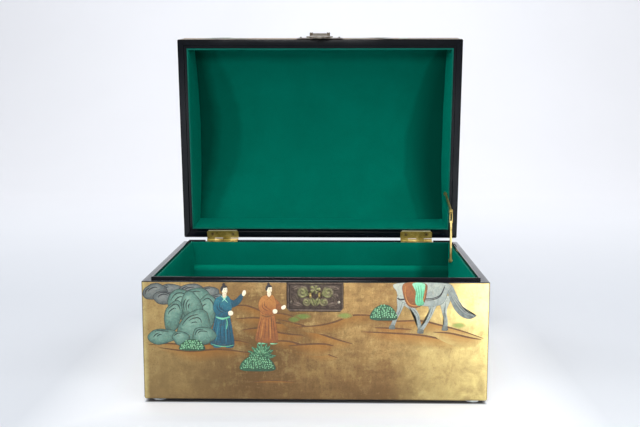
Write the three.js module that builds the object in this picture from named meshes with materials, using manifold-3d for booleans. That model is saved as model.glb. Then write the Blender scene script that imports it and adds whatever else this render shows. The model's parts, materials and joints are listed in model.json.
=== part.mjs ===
// A lacquered wooden jewelry box with a barrel-domed lid, velvet lining, two butt hinges,
// a folding lid stay and a hasp latch. Millimetres, +Z up, front facing -Y, lid standing open.
// Every lid piece is drawn where it lies with the lid shut, and the lid group swings it open.
import * as THREE from "three";
import { mergeVertices } from "three/addons/utils/BufferGeometryUtils.js";
import Module from "manifold-3d";

// ---- driving dimensions ----
const WIDTH = 330; // outside, left to right
const DEPTH = 236; // outside, front to back
const BODY_HEIGHT = 116; // underside of the base to the rim
const FOOT_HEIGHT = 3;
const FOOT_RADIUS = 8;
const FOOT_INSET = 13; // corner of the box to the centre of a foot, both ways
const GAP = 0.3; // between pieces that touch
const BOARD = 7.6; // body wall boards
const LINER = 2.2; // inner liner boards, whose top edge is the raised lip
const LIP_RISE = 3; // lip above the rim
const LINING = 1.5; // velvet-covered lining boards
const LINING_DROP = 2; // top of the body lining below the lip
const BASE_BOARD = 6;
const LEDGE_THICKNESS = 7.5; // padded boards along the front and back, inside the lining
const LEDGE_DROP = 27; // top of a ledge board below the rim
const LEDGE_ROUND = 6; // radius of a ledge board's top edge
const LID_GAP = 2; // rim to rim with the lid shut
const LID_BOARD = 10.1; // lid walls
const LID_FLAT = 7; // width of the lid's rim outside its rebate
const REBATE = 2.5; // depth of the rebate that takes the lip
const LID_WALL = 56; // outside height of the lid's front and back, up to the dome
const LID_HEIGHT = 88; // lid rim to the crown, outside
const DOME_BOARD = 8;
const LID_LINING_RISE = 1; // edge of the lid lining above the lid's rim
const OPEN = THREE.MathUtils.degToRad(84.7); // how far the lid stands open
const HINGES = [
  ["left", -118],
  ["right", 116],
]; // centre of each hinge from the middle of the box
const HINGE_WIDTH = 38;
const HINGE_OUT = 2.8; // hinge axis behind the back face
const LEAF_DEPTH = 9.2;
const LEAF_THICKNESS = 1;
const LEAF_CLIP = 2.2; // clipped corners of a leaf
const KNUCKLE_RADIUS = 2.1;
const KNUCKLES = 4;
const PIN_RADIUS = 0.9;
const PIN_PLAY = 0.05; // around each pin
const MORTISE = 0.8; // depth of the recess that a leaf lies in
const SCREW_X = 12.5; // hinge screw from the middle of its hinge
const SCREW_IN = 4.2; // hinge screw from the back face
const SCREW_LENGTH = 7;
const HEAD_RADIUS = 1.9;
const SHANK_RADIUS = 1;
const SHANK_ROOM = 0.3; // around a screw's shank
const PLATE_WIDTH = 54;
const PLATE_HEIGHT = 28.5;
const PLATE_THICKNESS = 1;
const PLATE_CLIP = 3.5;
const STAPLE_X = 4.2;
const STAPLE_DROP = 12; // staples below the body's rim
const STAPLE_REACH = 6.7; // how far a staple stands out of the plate
const NAIL_X = 22.5;
const HASP_AXIS_RISE = 9; // hasp pin above the lid's rim
const HASP_AXIS_OUT = 4.7; // hasp pin in front of the lid's face
const HASP_BARREL = 2; // radius
const HASP_HALF = 7.7; // half the barrel's length
const HASP_SHEET = 1.2;
const LUG_WIDTH = 3.8;
const STAY_X = 150.9; // middle plane of the folding stay
const STAY_LOWER = new THREE.Vector2(-55.5, -14.3); // lower pivot from the hinge axis, y and z
const STAY_UPPER = new THREE.Vector2(-55.9, 9.2); // upper pivot from the hinge axis, lid shut
const ARM_WIDTH = 4.6;
const ARM_THICKNESS = 2; // lower arm
const STRAP_THICKNESS = 1.4; // upper arm
const FORK_THICKNESS = 3.4;
const FORK_SLOT = 2;
const FORK_LENGTH = 11; // elbow pivot to the foot of the slot
const EYE_RADIUS = 1.45; // holes in the arms
const PIVOT_RADIUS = 1.15; // pins in those holes
const ROUND = 28; // segments of a small circle

// ---- derived places ----
const FLOOR_Z = FOOT_HEIGHT;
const RIM_Z = FLOOR_Z + BODY_HEIGHT;
const LID_Z = RIM_Z + LID_GAP;
const AXIS_Y = DEPTH / 2 + HINGE_OUT;
const AXIS_Z = RIM_Z + LID_GAP / 2;
const HALF_W = WIDTH / 2;
const HALF_D = DEPTH / 2;
const LINER_AT = BOARD + GAP; // outside of the liner from the outside of the box
const LINING_AT = LID_BOARD + GAP; // outside of the lining from the outside of the box
const INSIDE = LINING_AT + LINING; // velvet face from the outside of the box
const BASE_TOP = FLOOR_Z + BASE_BOARD;
const DOME_RISE = LID_HEIGHT - LID_WALL;
const DOME_RADIUS = (HALF_D ** 2 + DOME_RISE ** 2) / (2 * DOME_RISE);
const DOME_CENTRE_Z = LID_Z + LID_HEIGHT - DOME_RADIUS;
const FRONT = -HALF_D;

const wasm = await Module();
wasm.setup();

// ---- materials ----
function finish(color, roughness, metalness) {
  return () => new THREE.MeshStandardMaterial({ color, roughness, metalness });
}
const gilt = finish(0xb08d4c, 0.45, 0.6);
const lacquer = finish(0x1d2024, 0.15, 0);
const velvet = finish(0x006650, 0.95, 0);
const brass = finish(0xb99a54, 0.35, 1);
const bronze = finish(0x6b5c57, 0.45, 0.8);
const rubber = finish(0xb9c4d0, 0.3, 0);

// ---- geometry helpers ----
function piece(name, geometry, material) {
  const mesh = new THREE.Mesh(geometry, material());
  mesh.name = name;
  return mesh;
}

// A box between two corners.
function block(x0, x1, y0, y1, z0, z1) {
  const geometry = new THREE.BoxGeometry(x1 - x0, y1 - y0, z1 - z0);
  return geometry.translate((x0 + x1) / 2, (y0 + y1) / 2, (z0 + z1) / 2);
}

function extruded(shape, depth) {
  return new THREE.ExtrudeGeometry(shape, { depth, bevelEnabled: false, curveSegments: 10 });
}

// A shape drawn in Y and Z, run from x0 to x1.
function alongX(shape, x0, x1) {
  const basis = new THREE.Matrix4().makeBasis(
    new THREE.Vector3(0, 1, 0),
    new THREE.Vector3(0, 0, 1),
    new THREE.Vector3(1, 0, 0),
  );
  return extruded(shape, x1 - x0).applyMatrix4(basis).translate(x0, 0, 0);
}

// A shape drawn in X and Z, run forwards from y = back by its thickness.
function facingFront(shape, back, thickness) {
  const basis = new THREE.Matrix4().makeBasis(
    new THREE.Vector3(1, 0, 0),
    new THREE.Vector3(0, 0, 1),
    new THREE.Vector3(0, -1, 0),
  );
  return extruded(shape, thickness).applyMatrix4(basis).translate(0, back, 0);
}

// A shape drawn in X and Y, run up from z0 to z1.
function upright(shape, z0, z1) {
  return extruded(shape, z1 - z0).translate(0, 0, z0);
}

function polygon(points) {
  return new THREE.Shape(points.map(([x, y]) => new THREE.Vector2(x, y)));
}

function rodX(radius, x0, x1, y, z) {
  const rod = new THREE.CylinderGeometry(radius, radius, x1 - x0, ROUND);
  return rod.rotateZ(Math.PI / 2).translate((x0 + x1) / 2, y, z);
}

function rodZ(radius, z0, z1, x, y) {
  const rod = new THREE.CylinderGeometry(radius, radius, z1 - z0, ROUND);
  return rod.rotateX(Math.PI / 2).translate(x, y, (z0 + z1) / 2);
}

// A solid of revolution about +Z; its profile runs from the axis back to the axis.
function turned(profile) {
  const points = profile.map(([r, z]) => new THREE.Vector2(r, z));
  return new THREE.LatheGeometry(points, ROUND).rotateX(Math.PI / 2);
}

function solid(geometry) {
  const bare = geometry.clone().deleteAttribute("normal").deleteAttribute("uv");
  const merged = mergeVertices(bare, 1e-4);
  const vertProperties = merged.attributes.position.array;
  const triVerts = new Uint32Array(merged.index.array);
  return new wasm.Manifold(new wasm.Mesh({ numProp: 3, vertProperties, triVerts }));
}

function geometryOf(body) {
  const mesh = body.getMesh();
  const geometry = new THREE.BufferGeometry();
  geometry.setAttribute("position", new THREE.BufferAttribute(mesh.vertProperties, 3));
  geometry.setIndex(new THREE.BufferAttribute(mesh.triVerts, 1));
  const faceted = geometry.toNonIndexed();
  faceted.computeVertexNormals();
  return faceted;
}

// The first geometry with the others joined to it, then the cutters taken away.
function carved(added, cutters = []) {
  const [first, ...rest] = added.map(solid);
  const joined = rest.reduce((body, more) => body.add(more), first);
  return geometryOf(cutters.map(solid).reduce((body, cut) => body.subtract(cut), joined));
}

// ---- outlines shared by several pieces ----
function plateOutline(z0, z1, clipTop, clipBottom) {
  const half = PLATE_WIDTH / 2;
  return polygon([
    [-half + clipBottom, z0],
    [half - clipBottom, z0],
    [half, z0 + clipBottom],
    [half, z1 - clipTop],
    [half - clipTop, z1],
    [-half + clipTop, z1],
    [-half, z1 - clipTop],
    [-half, z0 + clipBottom],
  ]);
}

// Height of the dome at y, for an arc of the given radius about the dome's centre.
function domeZ(radius, y) {
  return DOME_CENTRE_Z + Math.sqrt(radius ** 2 - y ** 2);
}

// The region under an arc of the dome, between -half and half, above z0.
function archShape(radius, half, z0) {
  const reach = Math.asin(half / radius);
  const shape = new THREE.Shape();
  shape.moveTo(-half, z0);
  shape.lineTo(half, z0);
  shape.absarc(0, DOME_CENTRE_Z, radius, Math.PI / 2 - reach, Math.PI / 2 + reach, false);
  shape.closePath();
  return shape;
}

// The band between two arcs of the dome, cut off upright at -half and half.
function archBand(outer, inner, half) {
  const outerReach = Math.asin(half / outer);
  const innerReach = Math.asin(half / inner);
  const up = Math.PI / 2;
  const shape = new THREE.Shape();
  shape.absarc(0, DOME_CENTRE_Z, outer, up - outerReach, up + outerReach, false);
  shape.absarc(0, DOME_CENTRE_Z, inner, up + innerReach, up - innerReach, true);
  shape.closePath();
  return shape;
}

// ---- the body of the box ----
function screwHole(x, z0, z1) {
  return rodZ(SHANK_RADIUS + SHANK_ROOM, z0, z1, x, HALF_D - SCREW_IN);
}

// What the two hinges need cut out of the edge of a board, from z0 to z1.
function hingeCuts(mortiseZ0, mortiseZ1, holeZ0, holeZ1) {
  const half = HINGE_WIDTH / 2 + GAP;
  return HINGES.flatMap(([, x]) => [
    block(x - half, x + half, HALF_D - LEAF_DEPTH - GAP, HALF_D + 1, mortiseZ0, mortiseZ1),
    screwHole(x - SCREW_X, holeZ0, holeZ1),
    screwHole(x + SCREW_X, holeZ0, holeZ1),
  ]);
}

function stayHole(y, z) {
  return rodX(SHANK_RADIUS + SHANK_ROOM, STAY_X, HALF_W - 2.5, y, z);
}

function bodyBoards() {
  const side = HALF_D - BOARD - GAP;
  const inner = HALF_W - BOARD - GAP;
  const rightHole = stayHole(AXIS_Y + STAY_LOWER.x, AXIS_Z + STAY_LOWER.y);
  const back = block(-HALF_W, HALF_W, HALF_D - BOARD, HALF_D, FLOOR_Z, RIM_Z);
  const cuts = hingeCuts(RIM_Z - MORTISE, RIM_Z + 1, RIM_Z - SCREW_LENGTH - 1, RIM_Z + 1);
  const right = block(HALF_W - BOARD, HALF_W, -side, side, FLOOR_Z, RIM_Z);
  return [
    piece("front_panel", block(-HALF_W, HALF_W, FRONT, FRONT + BOARD, FLOOR_Z, RIM_Z), gilt),
    piece("back_panel", carved([back], cuts), gilt),
    piece("left_panel", block(-HALF_W, -HALF_W + BOARD, -side, side, FLOOR_Z, RIM_Z), gilt),
    piece("right_panel", carved([right], [rightHole]), gilt),
    piece("base_panel", block(-inner, inner, -side, side, FLOOR_Z, BASE_TOP), lacquer),
  ];
}

function bodyLiners() {
  const z0 = BASE_TOP + GAP;
  const z1 = RIM_Z + LIP_RISE;
  const x = HALF_W - LINER_AT;
  const y = HALF_D - LINER_AT;
  const side = y - LINER - GAP;
  const half = HINGE_WIDTH / 2 + GAP;
  const notches = HINGES.map(([, at]) =>
    block(at - half, at + half, y - LINER - 1, y + 1, RIM_Z - MORTISE, z1 + 1),
  );
  const rightHole = stayHole(AXIS_Y + STAY_LOWER.x, AXIS_Z + STAY_LOWER.y);
  const right = block(x - LINER, x, -side, side, z0, z1);
  return [
    piece("liner_front", block(-x, x, -y, -y + LINER, z0, z1), lacquer),
    piece("liner_back", carved([block(-x, x, y - LINER, y, z0, z1)], notches), lacquer),
    piece("liner_left", block(-x, -x + LINER, -side, side, z0, z1), lacquer),
    piece("liner_right", carved([right], [rightHole]), lacquer),
  ];
}

function bodyLining() {
  const z0 = BASE_TOP + GAP;
  const z1 = RIM_Z + LIP_RISE - LINING_DROP;
  const x = HALF_W - LINING_AT;
  const y = HALF_D - LINING_AT;
  const side = y - LINING - GAP;
  const floorX = x - LINING - GAP;
  const floorY = HALF_D - INSIDE - LEDGE_THICKNESS - 2 * GAP;
  const rightHole = stayHole(AXIS_Y + STAY_LOWER.x, AXIS_Z + STAY_LOWER.y);
  const right = block(x - LINING, x, -side, side, z0, z1);
  return [
    piece("lining_front", block(-x, x, -y, -y + LINING, z0, z1), velvet),
    piece("lining_back", block(-x, x, y - LINING, y, z0, z1), velvet),
    piece("lining_left", block(-x, -x + LINING, -side, side, z0, z1), velvet),
    piece("lining_right", carved([right], [rightHole]), velvet),
    piece("lining_floor", block(-floorX, floorX, -floorY, floorY, z0, z0 + LINING), velvet),
  ];
}

// A padded board with a rounded top edge on its inner side; sign is -1 in front, 1 at the back.
function ledge(name, sign) {
  const outer = HALF_D - INSIDE - GAP;
  const inner = outer - LEDGE_THICKNESS;
  const z0 = BASE_TOP + GAP;
  const z1 = RIM_Z - LEDGE_DROP;
  const shape = new THREE.Shape();
  shape.moveTo(inner, z0);
  shape.lineTo(outer, z0);
  shape.lineTo(outer, z1);
  shape.lineTo(inner + LEDGE_ROUND, z1);
  shape.absarc(inner + LEDGE_ROUND, z1 - LEDGE_ROUND, LEDGE_ROUND, Math.PI / 2, Math.PI, false);
  shape.closePath();
  const half = HALF_W - INSIDE - GAP;
  const board = piece(name, alongX(shape, -half, half), velvet);
  if (sign < 0) board.rotation.z = Math.PI;
  return board;
}

function foot(name, x, y) {
  const top = FOOT_HEIGHT - GAP;
  const pad = turned([
    [0, 0],
    [FOOT_RADIUS - 2.2, 0],
    [FOOT_RADIUS - 1, 0.5],
    [FOOT_RADIUS - 0.2, 1.4],
    [FOOT_RADIUS, top],
    [0, top],
  ]);
  return piece(name, pad.translate(x, y, 0), rubber);
}

function feet() {
  const x = HALF_W - FOOT_INSET;
  const y = HALF_D - FOOT_INSET;
  return [
    foot("foot_front_left", -x, -y),
    foot("foot_front_right", x, -y),
    foot("foot_back_left", -x, y),
    foot("foot_back_right", x, y),
  ];
}

// ---- hinges ----
// One leaf with its knuckles. plateZ is the underside of the plate; first is 0 or 1, the first of
// the four knuckles that it carries; its screws sink into the upper face when headUp is true.
function hingeLeaf(name, x, plateZ, first, headUp) {
  const half = HINGE_WIDTH / 2;
  const front = HALF_D - LEAF_DEPTH;
  const back = AXIS_Y - KNUCKLE_RADIUS - 0.4;
  const top = plateZ + LEAF_THICKNESS;
  const outline = polygon([
    [x - half + LEAF_CLIP, front],
    [x + half - LEAF_CLIP, front],
    [x + half, front + LEAF_CLIP],
    [x + half, back],
    [x - half, back],
    [x - half, front + LEAF_CLIP],
  ]);
  const step = HINGE_WIDTH / KNUCKLES;
  const added = [upright(outline, plateZ, top)];
  for (let i = first; i < KNUCKLES; i += 2) {
    const x0 = x - half + i * step + 0.15;
    const x1 = x0 + step - GAP;
    added.push(block(x0, x1, back - 1, AXIS_Y - 1, plateZ, top));
    added.push(rodX(KNUCKLE_RADIUS, x0, x1, AXIS_Y, AXIS_Z));
  }
  const bore = rodX(PIN_RADIUS + PIN_PLAY, x - half - 1, x + half + 1, AXIS_Y, AXIS_Z);
  const sinks = [-SCREW_X, SCREW_X].map((dx) => countersink(x + dx, plateZ, headUp));
  return piece(name, carved(added, [bore, ...sinks]), brass);
}

// The tapered hole for a screw head, with a little room around it.
function countersink(x, plateZ, headUp) {
  const wide = HEAD_RADIUS + GAP + 0.1;
  const narrow = SHANK_RADIUS + GAP + 0.1;
  const tool = turned([
    [0, -1],
    [narrow, -1],
    [narrow, 0.2],
    [wide, LEAF_THICKNESS],
    [wide, LEAF_THICKNESS + 1],
    [0, LEAF_THICKNESS + 1],
  ]);
  if (!headUp) tool.rotateX(Math.PI).translate(0, 0, LEAF_THICKNESS);
  return tool.translate(x, HALF_D - SCREW_IN, plateZ);
}

// A countersunk wood screw with its head face at z, pointing down, or up when flipped.
function hingeScrew(name, x, z, pointsUp) {
  const screw = turned([
    [0, -SCREW_LENGTH],
    [SHANK_RADIUS, -SCREW_LENGTH + 2],
    [SHANK_RADIUS, -0.8],
    [HEAD_RADIUS, 0],
    [0, 0],
  ]);
  if (pointsUp) screw.rotateX(Math.PI);
  return piece(name, screw.translate(x, HALF_D - SCREW_IN, z), brass);
}

const LOWER_PLATE_Z = RIM_Z - MORTISE + GAP;
const UPPER_PLATE_Z = LID_Z + MORTISE - GAP - LEAF_THICKNESS;

function fixedHingePieces() {
  const half = HINGE_WIDTH / 2;
  return HINGES.flatMap(([side, x]) => [
    hingeLeaf(`hinge_${side}_lower_leaf`, x, LOWER_PLATE_Z, 1, true),
    piece(`hinge_${side}_pin`, rodX(PIN_RADIUS, x - half, x + half, AXIS_Y, AXIS_Z), brass),
    hingeScrew(`hinge_${side}_lower_screw_1`, x - SCREW_X, LOWER_PLATE_Z + 1, false),
    hingeScrew(`hinge_${side}_lower_screw_2`, x + SCREW_X, LOWER_PLATE_Z + 1, false),
  ]);
}

function lidHingePieces() {
  return HINGES.flatMap(([side, x]) => [
    hingeLeaf(`hinge_${side}_upper_leaf`, x, UPPER_PLATE_Z, 0, false),
    hingeScrew(`hinge_${side}_upper_screw_1`, x - SCREW_X, UPPER_PLATE_Z, true),
    hingeScrew(`hinge_${side}_upper_screw_2`, x + SCREW_X, UPPER_PLATE_Z, true),
  ]);
}

// ---- latch ----
const PLATE_BACK = FRONT - GAP;
const PLATE_FACE = PLATE_BACK - PLATE_THICKNESS;

function nailHole(x, z) {
  const hole = rodZ(0.9, -PLATE_THICKNESS - 1, 1, 0, 0).rotateX(Math.PI / 2);
  return hole.translate(x, PLATE_BACK - PLATE_THICKNESS, z);
}

function nail(name, x, z) {
  const head = turned([
    [0, -PLATE_THICKNESS],
    [0.6, -PLATE_THICKNESS],
    [0.6, GAP],
    [1.5, GAP],
    [1.1, GAP + 0.6],
    [0, GAP + 0.8],
  ]);
  return piece(name, head.rotateX(Math.PI / 2).translate(x, PLATE_FACE, z), bronze);
}

const BODY_PLATE_TOP = RIM_Z - 0.2;
const BODY_NAIL_Z = BODY_PLATE_TOP - 19;

function bodyPlate() {
  const outline = plateOutline(BODY_PLATE_TOP - PLATE_HEIGHT, BODY_PLATE_TOP, 0.6, PLATE_CLIP);
  const plate = facingFront(outline, PLATE_BACK, PLATE_THICKNESS);
  const holes = [-NAIL_X, NAIL_X].map((x) => nailHole(x, BODY_NAIL_Z));
  return [
    piece("latch_body_plate", carved([plate], holes), bronze),
    nail("latch_body_nail_left", -NAIL_X, BODY_NAIL_Z),
    nail("latch_body_nail_right", NAIL_X, BODY_NAIL_Z),
  ];
}

// A loop of flat wire standing out of the plate, open from side to side.
function staple(name, x) {
  const outer = 2.6;
  const inner = 1.2;
  const base = PLATE_FACE - GAP;
  const centre = PLATE_FACE - STAPLE_REACH + outer;
  const z = RIM_Z - STAPLE_DROP;
  const shape = new THREE.Shape();
  shape.moveTo(base, z + outer);
  shape.lineTo(centre, z + outer);
  shape.absarc(centre, z, outer, Math.PI / 2, (3 * Math.PI) / 2, false);
  shape.lineTo(base, z - outer);
  shape.lineTo(base, z - inner);
  shape.lineTo(centre, z - inner);
  shape.absarc(centre, z, inner, (3 * Math.PI) / 2, Math.PI / 2, true);
  shape.lineTo(base, z + inner);
  shape.closePath();
  return piece(name, alongX(shape, x - 0.9, x + 0.9), brass);
}

const HASP_Y = FRONT - HASP_AXIS_OUT;
const HASP_Z = LID_Z + HASP_AXIS_RISE;
const LID_PLATE_Z = LID_Z + 0.2;
const LID_NAIL_Z = LID_PLATE_Z + 19;

// The lid's plate carries two lugs that hold the hasp's pin.
function lidPlate() {
  const outline = plateOutline(LID_PLATE_Z, LID_PLATE_Z + PLATE_HEIGHT, PLATE_CLIP, 0.6);
  const added = [facingFront(outline, PLATE_BACK, PLATE_THICKNESS)];
  const lugHalf = HASP_BARREL + 0.9;
  for (const side of [-1, 1]) {
    const x0 = side * (HASP_HALF + GAP);
    const x1 = x0 + side * LUG_WIDTH;
    const shape = new THREE.Shape();
    shape.moveTo(PLATE_FACE + 0.5, HASP_Z - lugHalf);
    shape.lineTo(PLATE_FACE + 0.5, HASP_Z + lugHalf);
    shape.lineTo(HASP_Y, HASP_Z + lugHalf);
    shape.absarc(HASP_Y, HASP_Z, lugHalf, Math.PI / 2, (3 * Math.PI) / 2, false);
    shape.closePath();
    added.push(alongX(shape, Math.min(x0, x1), Math.max(x0, x1)));
  }
  const bore = rodX(PIN_RADIUS + PIN_PLAY, -20, 20, HASP_Y, HASP_Z);
  const holes = [-NAIL_X, NAIL_X].map((x) => nailHole(x, LID_NAIL_Z));
  const reach = HASP_HALF + GAP + LUG_WIDTH;
  return [
    piece("latch_lid_plate", carved(added, [bore, ...holes]), bronze),
    nail("latch_lid_nail_left", -NAIL_X, LID_NAIL_Z),
    nail("latch_lid_nail_right", NAIL_X, LID_NAIL_Z),
    piece("hasp_pin", rodX(PIN_RADIUS, -reach, reach, HASP_Y, HASP_Z), brass),
  ];
}

// Front of the tongue's sheet: distance below the pin, distance in front of the pin. A short neck
// runs down off the barrel, and the scalloped end below it lies close to the body's plate.
const TONGUE_FRONT = [
  [0, 1.9],
  [2, 1.8],
  [5, 0.8],
  [8.5, -0.4],
  [12, -0.9],
  [40, -2],
];

function tongueSheet(half) {
  const front = TONGUE_FRONT.map(([down, out]) => [HASP_Y - out, HASP_Z - down]);
  const back = front.map(([y, z]) => [y + HASP_SHEET, z]).reverse();
  return alongX(polygon([...front, ...back]), -half, half);
}

// A tongue with scalloped sides and two slots, hung from a barrel.
function hasp() {
  const z = LID_Z;
  const shape = new THREE.Shape();
  shape.moveTo(-HASP_HALF, HASP_Z + 1);
  shape.lineTo(-HASP_HALF, z + 5);
  shape.quadraticCurveTo(-HASP_HALF, z - 1, -15, z - 4);
  shape.quadraticCurveTo(-16, z - 10, -12, z - 13);
  shape.quadraticCurveTo(-11.5, z - 18.5, -6.5, z - 20);
  shape.quadraticCurveTo(-4, z - 25.5, 0, z - 26);
  shape.quadraticCurveTo(4, z - 25.5, 6.5, z - 20);
  shape.quadraticCurveTo(11.5, z - 18.5, 12, z - 13);
  shape.quadraticCurveTo(16, z - 10, 15, z - 4);
  shape.quadraticCurveTo(HASP_HALF, z - 1, HASP_HALF, z + 5);
  shape.lineTo(HASP_HALF, HASP_Z + 1);
  shape.closePath();
  const outline = solid(facingFront(shape, FRONT + 5, 30));
  const tongue = geometryOf(solid(tongueSheet(20)).intersect(outline));
  const barrel = rodX(HASP_BARREL, -HASP_HALF, HASP_HALF, HASP_Y, HASP_Z);
  const slots = [-STAPLE_X, STAPLE_X].map((x) => {
    const slot = new THREE.Shape();
    const slotZ = RIM_Z - STAPLE_DROP;
    slot.absarc(x, slotZ + 1.6, 1.7, 0, Math.PI, false);
    slot.absarc(x, slotZ - 1.6, 1.7, Math.PI, 2 * Math.PI, false);
    slot.closePath();
    return facingFront(slot, FRONT, 10);
  });
  const bore = rodX(PIN_RADIUS + PIN_PLAY, -20, 20, HASP_Y, HASP_Z);
  return piece("hasp", carved([tongue, barrel], [bore, ...slots]), bronze);
}

// ---- lid ----
// Front and back walls: a rebate on the inner edge of the rim, a top edge that follows the dome.
function lidWallShape() {
  const outer = HALF_D;
  const inner = HALF_D - LID_BOARD;
  const under = DOME_RADIUS - DOME_BOARD - GAP;
  return polygon([
    [outer - LID_FLAT, LID_Z],
    [outer, LID_Z],
    [outer, domeZ(under, outer)],
    [inner, domeZ(under, inner)],
    [inner, LID_Z + REBATE],
    [outer - LID_FLAT, LID_Z + REBATE],
  ]);
}

function lidEnd(name, sign, cutters) {
  const half = HALF_D - LID_BOARD - GAP;
  const shape = archShape(DOME_RADIUS - DOME_BOARD - GAP, half, LID_Z);
  const x = [sign * HALF_W, sign * (HALF_W - LID_BOARD)].sort((a, b) => a - b);
  const rebateX = [sign * (HALF_W - LID_FLAT), sign * (HALF_W - LID_BOARD - 1)];
  rebateX.sort((a, b) => a - b);
  const rebate = block(...rebateX, -half - 1, half + 1, LID_Z - 1, LID_Z + REBATE);
  return piece(name, carved([alongX(shape, ...x)], [rebate, ...cutters]), gilt);
}

function lidBoards() {
  const front = piece("lid_front_panel", alongX(lidWallShape(), -HALF_W, HALF_W), gilt);
  front.rotation.z = Math.PI;
  const wall = alongX(lidWallShape(), -HALF_W, HALF_W);
  const cuts = hingeCuts(LID_Z - 1, LID_Z + MORTISE, LID_Z - 1, LID_Z + SCREW_LENGTH + 1);
  const hole = stayHole(AXIS_Y + STAY_UPPER.x, AXIS_Z + STAY_UPPER.y);
  const dome = archBand(DOME_RADIUS, DOME_RADIUS - DOME_BOARD, HALF_D);
  return [
    front,
    piece("lid_back_panel", carved([wall], cuts), gilt),
    lidEnd("lid_left_end", -1, []),
    lidEnd("lid_right_end", 1, [hole]),
    piece("lid_top_panel", alongX(dome, -HALF_W, HALF_W), gilt),
  ];
}

function lidLining() {
  const outerArc = DOME_RADIUS - DOME_BOARD - 2 * GAP;
  const innerArc = outerArc - LINING;
  const z0 = LID_Z + LID_LINING_RISE;
  const x = HALF_W - LINING_AT;
  const y = HALF_D - LINING_AT;
  const side = y - LINING - GAP;
  const wall = polygon([
    [y - LINING, z0],
    [y, z0],
    [y, domeZ(innerArc - GAP, y)],
    [y - LINING, domeZ(innerArc - GAP, y - LINING)],
  ]);
  const hole = stayHole(AXIS_Y + STAY_UPPER.x, AXIS_Z + STAY_UPPER.y);
  const end = archShape(innerArc - GAP, side, z0);
  const front = piece("lid_lining_front", alongX(wall, -x, x), velvet);
  front.rotation.z = Math.PI;
  return [
    front,
    piece("lid_lining_back", alongX(wall, -x, x), velvet),
    piece("lid_lining_left", alongX(end, -x, -x + LINING), velvet),
    piece("lid_lining_right", carved([alongX(end, x - LINING, x)], [hole]), velvet),
    piece("lid_lining_top", alongX(archBand(outerArc, innerArc, y), -x, x), velvet),
  ];
}

// ---- folding stay ----
// Its four pivots are the corners of a parallelogram: the lid turns about the hinge pins, the
// lower arm turns with the lid, and the upper arm keeps its direction.
function armOutline(length, eyes) {
  const half = ARM_WIDTH / 2;
  const shape = new THREE.Shape();
  shape.absarc(0, 0, half, Math.PI, 2 * Math.PI, false);
  shape.absarc(0, length, half, 0, Math.PI, false);
  shape.closePath();
  for (const z of eyes) {
    const eye = new THREE.Path();
    eye.absarc(0, z, EYE_RADIUS, 0, 2 * Math.PI, true);
    shape.holes.push(eye);
  }
  return shape;
}

function lowerArm(length) {
  const bar = alongX(armOutline(length - FORK_LENGTH, [0]), -ARM_THICKNESS / 2, ARM_THICKNESS / 2);
  const head = new THREE.Shape();
  const half = ARM_WIDTH / 2;
  head.moveTo(-half, length - FORK_LENGTH - 2);
  head.lineTo(half, length - FORK_LENGTH - 2);
  head.lineTo(half, length);
  head.absarc(0, length, half, 0, Math.PI, false);
  head.closePath();
  const fork = alongX(head, -FORK_THICKNESS / 2, FORK_THICKNESS / 2);
  const slot = block(-FORK_SLOT / 2, FORK_SLOT / 2, -9, 9, length - FORK_LENGTH, length + 9);
  const eye = rodX(EYE_RADIUS, -9, 9, 0, length);
  return piece("stay_lower_arm", carved([bar, fork], [slot, eye]), brass);
}

function upperArm(length) {
  const half = STRAP_THICKNESS / 2;
  return piece("stay_upper_arm", alongX(armOutline(length, [0, length]), -half, half), brass);
}

// A shouldered screw: head inside the box, pivot through the arm, shank in the wood.
function stayScrew(name, pivotLength) {
  const head = pivotLength / 2 + GAP;
  const screw = turned([
    [0, -head - 1.2],
    [1.9, -head - 0.9],
    [2.6, -head],
    [PIVOT_RADIUS, -head],
    [PIVOT_RADIUS, pivotLength / 2],
    [SHANK_RADIUS, pivotLength / 2],
    [SHANK_RADIUS, 9],
    [0, 11],
  ]);
  return piece(name, screw.rotateY(Math.PI / 2), brass);
}

function elbowRivet() {
  const head = FORK_THICKNESS / 2 + GAP;
  const rivet = turned([
    [0, -head - 0.7],
    [1.6, -head - 0.5],
    [2, -head],
    [PIVOT_RADIUS, -head],
    [PIVOT_RADIUS, FORK_THICKNESS / 2],
    [0, FORK_THICKNESS / 2],
  ]);
  return piece("stay_elbow_rivet", rivet.rotateY(Math.PI / 2), brass);
}

// A group whose local +Z runs along (y, z), at a place in the stay's plane.
function along(y, z, atY, atZ, ...children) {
  const group = new THREE.Group();
  group.position.set(STAY_X, AXIS_Y + atY, AXIS_Z + atZ);
  group.rotation.x = Math.atan2(-y, z);
  group.add(...children);
  return group;
}

function foldingStay() {
  const lower = STAY_LOWER;
  const upper = STAY_UPPER.clone().rotateAround(new THREE.Vector2(), -OPEN);
  const elbow = lower.clone().add(upper);
  return [
    along(upper.x, upper.y, lower.x, lower.y, lowerArm(upper.length())),
    along(upper.x, upper.y, elbow.x, elbow.y, elbowRivet()),
    along(-lower.x, -lower.y, elbow.x, elbow.y, upperArm(lower.length())),
    along(0, 1, lower.x, lower.y, stayScrew("stay_lower_screw", ARM_THICKNESS)),
    along(0, 1, upper.x, upper.y, stayScrew("stay_upper_screw", STRAP_THICKNESS)),
  ];
}

// ---- the whole box ----
function lidGroup() {
  const pivot = new THREE.Group();
  pivot.position.set(0, AXIS_Y, AXIS_Z);
  pivot.rotation.x = -OPEN;
  const shut = new THREE.Group();
  shut.position.set(0, -AXIS_Y, -AXIS_Z);
  shut.add(...lidBoards(), ...lidLining(), ...lidHingePieces(), ...lidPlate(), hasp());
  pivot.add(shut);
  return pivot;
}

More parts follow.
